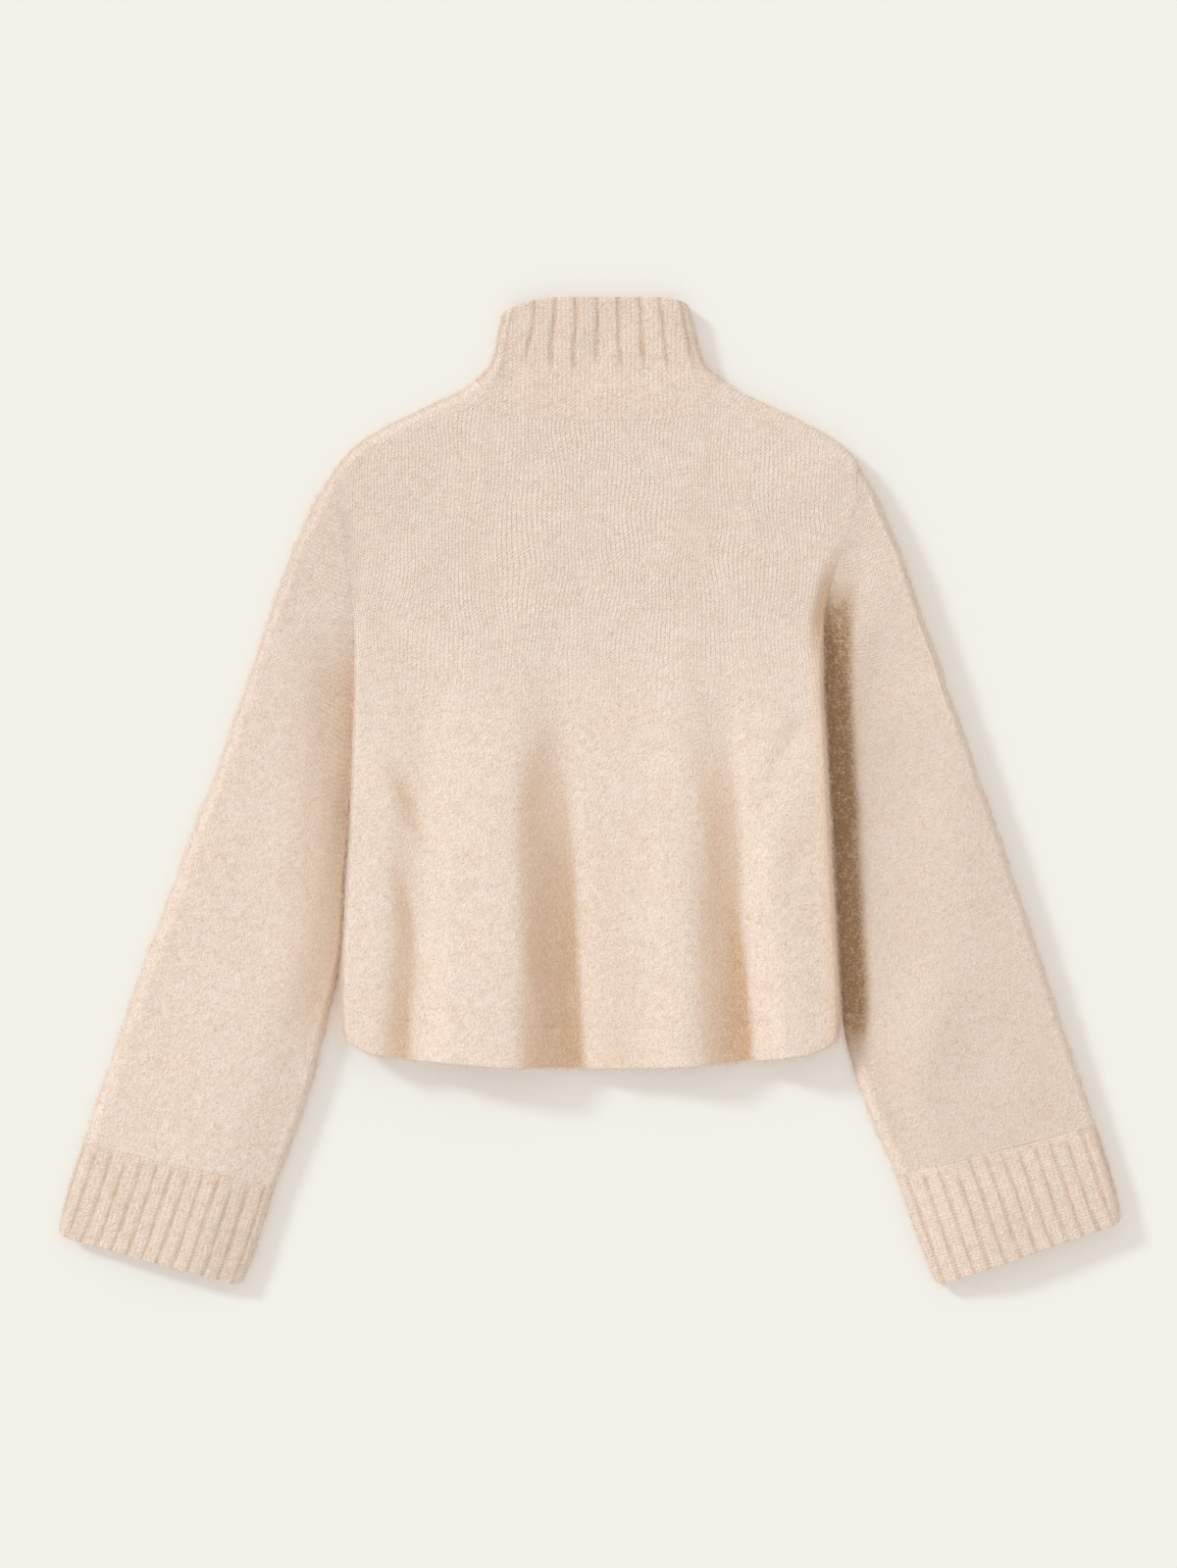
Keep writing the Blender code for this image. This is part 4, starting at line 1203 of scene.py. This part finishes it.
sleeves = {
    "flat": (0.50, 0.56),
    "area": 0.112,
    "slot": "brushed_knit",
    "rows": 150,
    "backCount": 42,
    "frontCount": 20,
    "foldAngles": (-80, -60, -40, -20, 0, 20, 40, 60, 80),
    "fibres": 17900,
    "gap": 0.0,
    "wander": 0.5,          # of the outline, in and out
    "bareAtBody": 0.72,     # the stitches show most near the armhole
    "bareBelow": 0.12,
    # painted shade beside the body, and painted half shade over the right sleeve's top
    "shadeFromY": -215,
    "shadeFades": (60, 65),
    "left": {"shadeToY": 134, "shadeTint": 0.5, "darkShadeTint": 0.12, "sleeveTopShade": 0, "sleeveTopShadeInside": 0},
    "right": {"shadeToY": 172, "shadeTint": 0.85, "darkShadeTint": 1.0, "sleeveTopShade": 0.13, "sleeveTopShadeInside": 0.19},
    "softWidth": 58,
    "softPower": 1.4,
    "deepWidth": 27,
    "deepOver": 13,
}

for side in sign:
    shares = np.linspace(0, 1, sleeves["rows"])
    places, above = tubeGrid(side, sleeveRings[side], shares, sleeves)
    x, y, z = np.moveaxis(places, -1, 0)
    z += above * (creaseHeight(sleeveCreases[side], x, y) + looseHeight("sleeve", x, y))
    away = ease(shares / 0.15) * ease((1 - shares) / 0.1)
    drift = np.stack([waves(y, x * 0.3, 38, 31), waves(x, y * 0.3, 38, 32), 0 * x], axis=2)
    places = places + sleeves["wander"] * away[:, None, None] * drift
    fold = sleeves["backCount"] + 6  # the cut begins near the middle of the outer fold
    cut = cutPlaces(places, fold if side == "left" else places.shape[1] - 1 - fold)
    bare = mix(sleeves["bareAtBody"], sleeves["bareBelow"], ease((shares - 0.05) / 0.3))

    # painted shade beside the body: wide and soft on the left, narrow and deep on the right, where the body's
    # shadow falls on the sleeve
    tints = sleeves[side]
    fromBody = np.abs(x) - np.abs(sideX(side, np.maximum(y, -190)))
    if side == "left":
        shaded = (1 - np.clip(fromBody / sleeves["softWidth"], 0, 1)) ** sleeves["softPower"]
    else:
        shaded = ease((sleeves["deepWidth"] - fromBody) / sleeves["deepOver"])
    below, atTop = sleeves["shadeFades"]
    shaded = shaded * ease((y - sleeves["shadeFromY"]) / below) * ease((tints["shadeToY"] - y) / atTop)
    shaded = shaded * (places[..., 2] > 1)
    # painted half shade over the right sleeve's top, most near the body, less towards the shoulder
    sleeveTopShade = mix(tints["sleeveTopShadeInside"], tints["sleeveTopShade"], ease((fromBody - 55) / 50))
    sleeveTopShade = sleeveTopShade * (above > 0) * (1 - 0.7 * ease((y - 40) / 110))
    fields = {
        "bare": np.broadcast_to(bare[:, None], above.shape),
        "paintedRimShade": paintedRimShadeAt(places, closed=True),
        "valleyAndPaintedShade": tints["shadeTint"] * shaded,
        "paintedShadeAndLinkLine": np.maximum(tints["darkShadeTint"] * shaded, sleeveTopShade),
    }
    piece = clothPiece(f"knitSleeve{side.title()}", places, cut, fields, "knit", closed=True)
    cover = np.where((above > 0) | (places[..., 2] > 0.5), 1.0, 0.08)
    nap = napPiece(f"napSleeve{side.title()}", places, cover, sleeves["fibres"], closed=True)
    settle(piece, [nap], f"sleeve_{side}", sleeves)
print("sleeves made")

# cuffs

cuffs = {
    "flat": (0.32, 0.075),
    "slot": "ribbed_knit",
    "rows": 29,
    "backCount": 160,
    "frontCount": 110,
    "foldAngles": (-75, -50, -25, 0, 25, 50, 75),
    "gap": 0.03,
    "ribs": 26,
    "ribDepth": 0.62,
    "ribsSway": 0.035,
    "ribsWaver": 0.025,
    "valleyWidth": 1.6,
    "bare": 0.7,
    "loose": 0.3,           # height of its unevenness
    "around": 300.0,
    "corner": 6.5,          # how round the two corners at the wrist are
    "fibres": 6000,
}

for side in sign:
    shares = np.linspace(0, 1, cuffs["rows"])
    places, above = tubeGrid(side, cuffRings[side], shares, cuffs)
    x, y = places[..., 0], places[..., 1]
    apart = np.linalg.norm(places[-1, :, None, :2] - places[-1, None, :, :2], axis=2)
    oneFold, otherFold = np.unravel_index(np.argmax(apart), apart.shape)
    toCorner = np.clip(np.minimum(apart[:, oneFold], apart[:, otherFold]) / cuffs["corner"], 0, 1)
    tuck = cuffs["corner"] * (1 - np.sqrt(1 - (1 - toCorner) ** 2))
    loose = above * cuffs["loose"] * waves(x, y, 60, 23)
    places = places - (shares[:, None] ** 3 * tuck)[..., None] * unit(places[-1] - places[0])
    places[..., 2] += loose
    fold = cuffs["backCount"] + 4  # the middle of the outer fold
    cut = cutPlaces(places, fold if side == "left" else places.shape[1] - 1 - fold)
    u, v = np.moveaxis(cut - cut[:, :1] * (1, 0), -1, 0)
    phase = cuffs["ribs"] * u / u[:, -1:]
    phase = phase + cuffs["ribsSway"] * waves(u, v * 0.6, 50, 24)
    phase = phase + cuffs["ribsWaver"] * waves(u * 0.4, v, 9, 28)
    begins = 0.02 + 0.05 * waves(u[0], 0 * u[0], 26, 25)
    fade = ease((shares[:, None] - begins) / 0.09) * (0.85 + 0.25 * waves(u, v, 16, 27))
    pitch = cuffs["around"] / cuffs["ribs"]
    ribbedPiece(f"Cuff{side.title()}", f"cuff_{side}", places, cut, phase, fade, pitch, cuffs, closed=True)
print("cuffs made")

# collar

places, upRows = collarGrid()
cut = cutPlaces(places, places.shape[1] // 2)
x, y, z = np.moveaxis(places, -1, 0)
up = upRows[:, None]
around = np.concatenate([[0], np.cumsum(np.linalg.norm(np.diff(places[-1], axis=0), axis=1))])
bend = (x - collarShape["ribsBendX"]) / collarShape["ribsBendWidth"]
bend = collarShape["ribsBend"] * np.exp(-(bend ** 2))
bend = bend * np.sin(2 * math.pi * (up - 0.35) / 0.75) * (z > 2)
phase = collarShape["ribs"] * around / around[-1] + bend
phase = phase + collarShape["ribsSway"] * waves(x, y, 30, 26)
phase = phase + collarShape["ribsWaver"] * waves(x * 0.3, y, 6, 28)
starts = y - collarShape["ribsFromY"] - 3 * waves(x, 0 * y, 40, 27)
starts = starts / (collarShape["ribsFullY"] - collarShape["ribsFromY"])
fade = ease(np.where(z > 3, starts, (up - 0.1) / 0.3)) * (1 - 0.25 * waves(x, y, 24, 27))
flattened = ease((layout["neckX"] - x - collarShape["flatFrom"]) / collarShape["flatOver"])
fade = fade * (1 - collarShape["flatLoses"] * flattened)
pitch = around[-1] / collarShape["ribs"]
frontEdges = 0, places.shape[1] - 1
ribbedPiece("Collar", "collar", places, cut, phase, fade, pitch, collarShape, frontEdges)
print("collar made")

# surface, light and camera

surface = {
    "size": 9.0,            # metres
    "z": -0.5,              # mm
    "colour": "#BDCBCB",
    "glow": "#9E867A",
    "roughness": 0.9,
}

bm = bmesh.new()
bmesh.ops.create_grid(bm, x_segments=1, y_segments=1, size=surface["size"] / 2)
bmesh.ops.translate(bm, verts=bm.verts, vec=(0, 0, surface["z"] * mm))
table = addObject("paleTable", fillMesh(bpy.data.meshes.new("paleTable"), bm))
# matt table paint, lit a little from within, so that shadows on it stay light and warm
tablePaint = bpy.data.materials.new("tablePaintMatt")
tablePaint.use_nodes = True
paint = tablePaint.node_tree.nodes["Principled BSDF"].inputs
for name, value in (
    ("Base Color", colour(surface["colour"])), ("Roughness", surface["roughness"]),
    ("Specular IOR Level", 0.0), ("Emission Color", colour(surface["glow"])), ("Emission Strength", 1.0),
):
    paint[name].default_value = value
table.data.materials.append(tablePaint)

light = {
    "height": 24.5,         # degrees above the surface
    "from": 144,            # degrees round from +X, at the upper left
    "strength": 1.95,
    "softness": 9,          # degrees
    "tint": (1.0, 0.99, 0.98),
    "around": 0.835,
    "air": "#FFFDFA",
}

world = bpy.data.worlds.new("paleStudio")
world.use_nodes = True
air = world.node_tree.nodes["Background"].inputs
air["Color"].default_value = colour(light["air"])
air["Strength"].default_value = light["around"]
bpy.context.scene.world = world
lamp = bpy.data.lights.new("windowLight", "SUN")
lamp.energy = light["strength"]
lamp.angle = math.radians(light["softness"])
lamp.color = light["tint"]
window = addObject("windowLight", lamp)
window.rotation_euler = (math.radians(90 - light["height"]), 0, math.radians(light["from"] + 90))

view = {"lens": 100, "sensor": 36, "x": -2.19, "y": 5.84, "above": 3252}  # straight down, in mm

lens = bpy.data.cameras.new("overhead")
lens.lens, lens.sensor_width = view["lens"], view["sensor"]
camera = addObject("overhead", lens)
camera.location = (view["x"] * mm, view["y"] * mm, view["above"] * mm)
bpy.context.scene.camera = camera
bpy.context.scene.view_settings.view_transform = "Standard"

print("scene made")
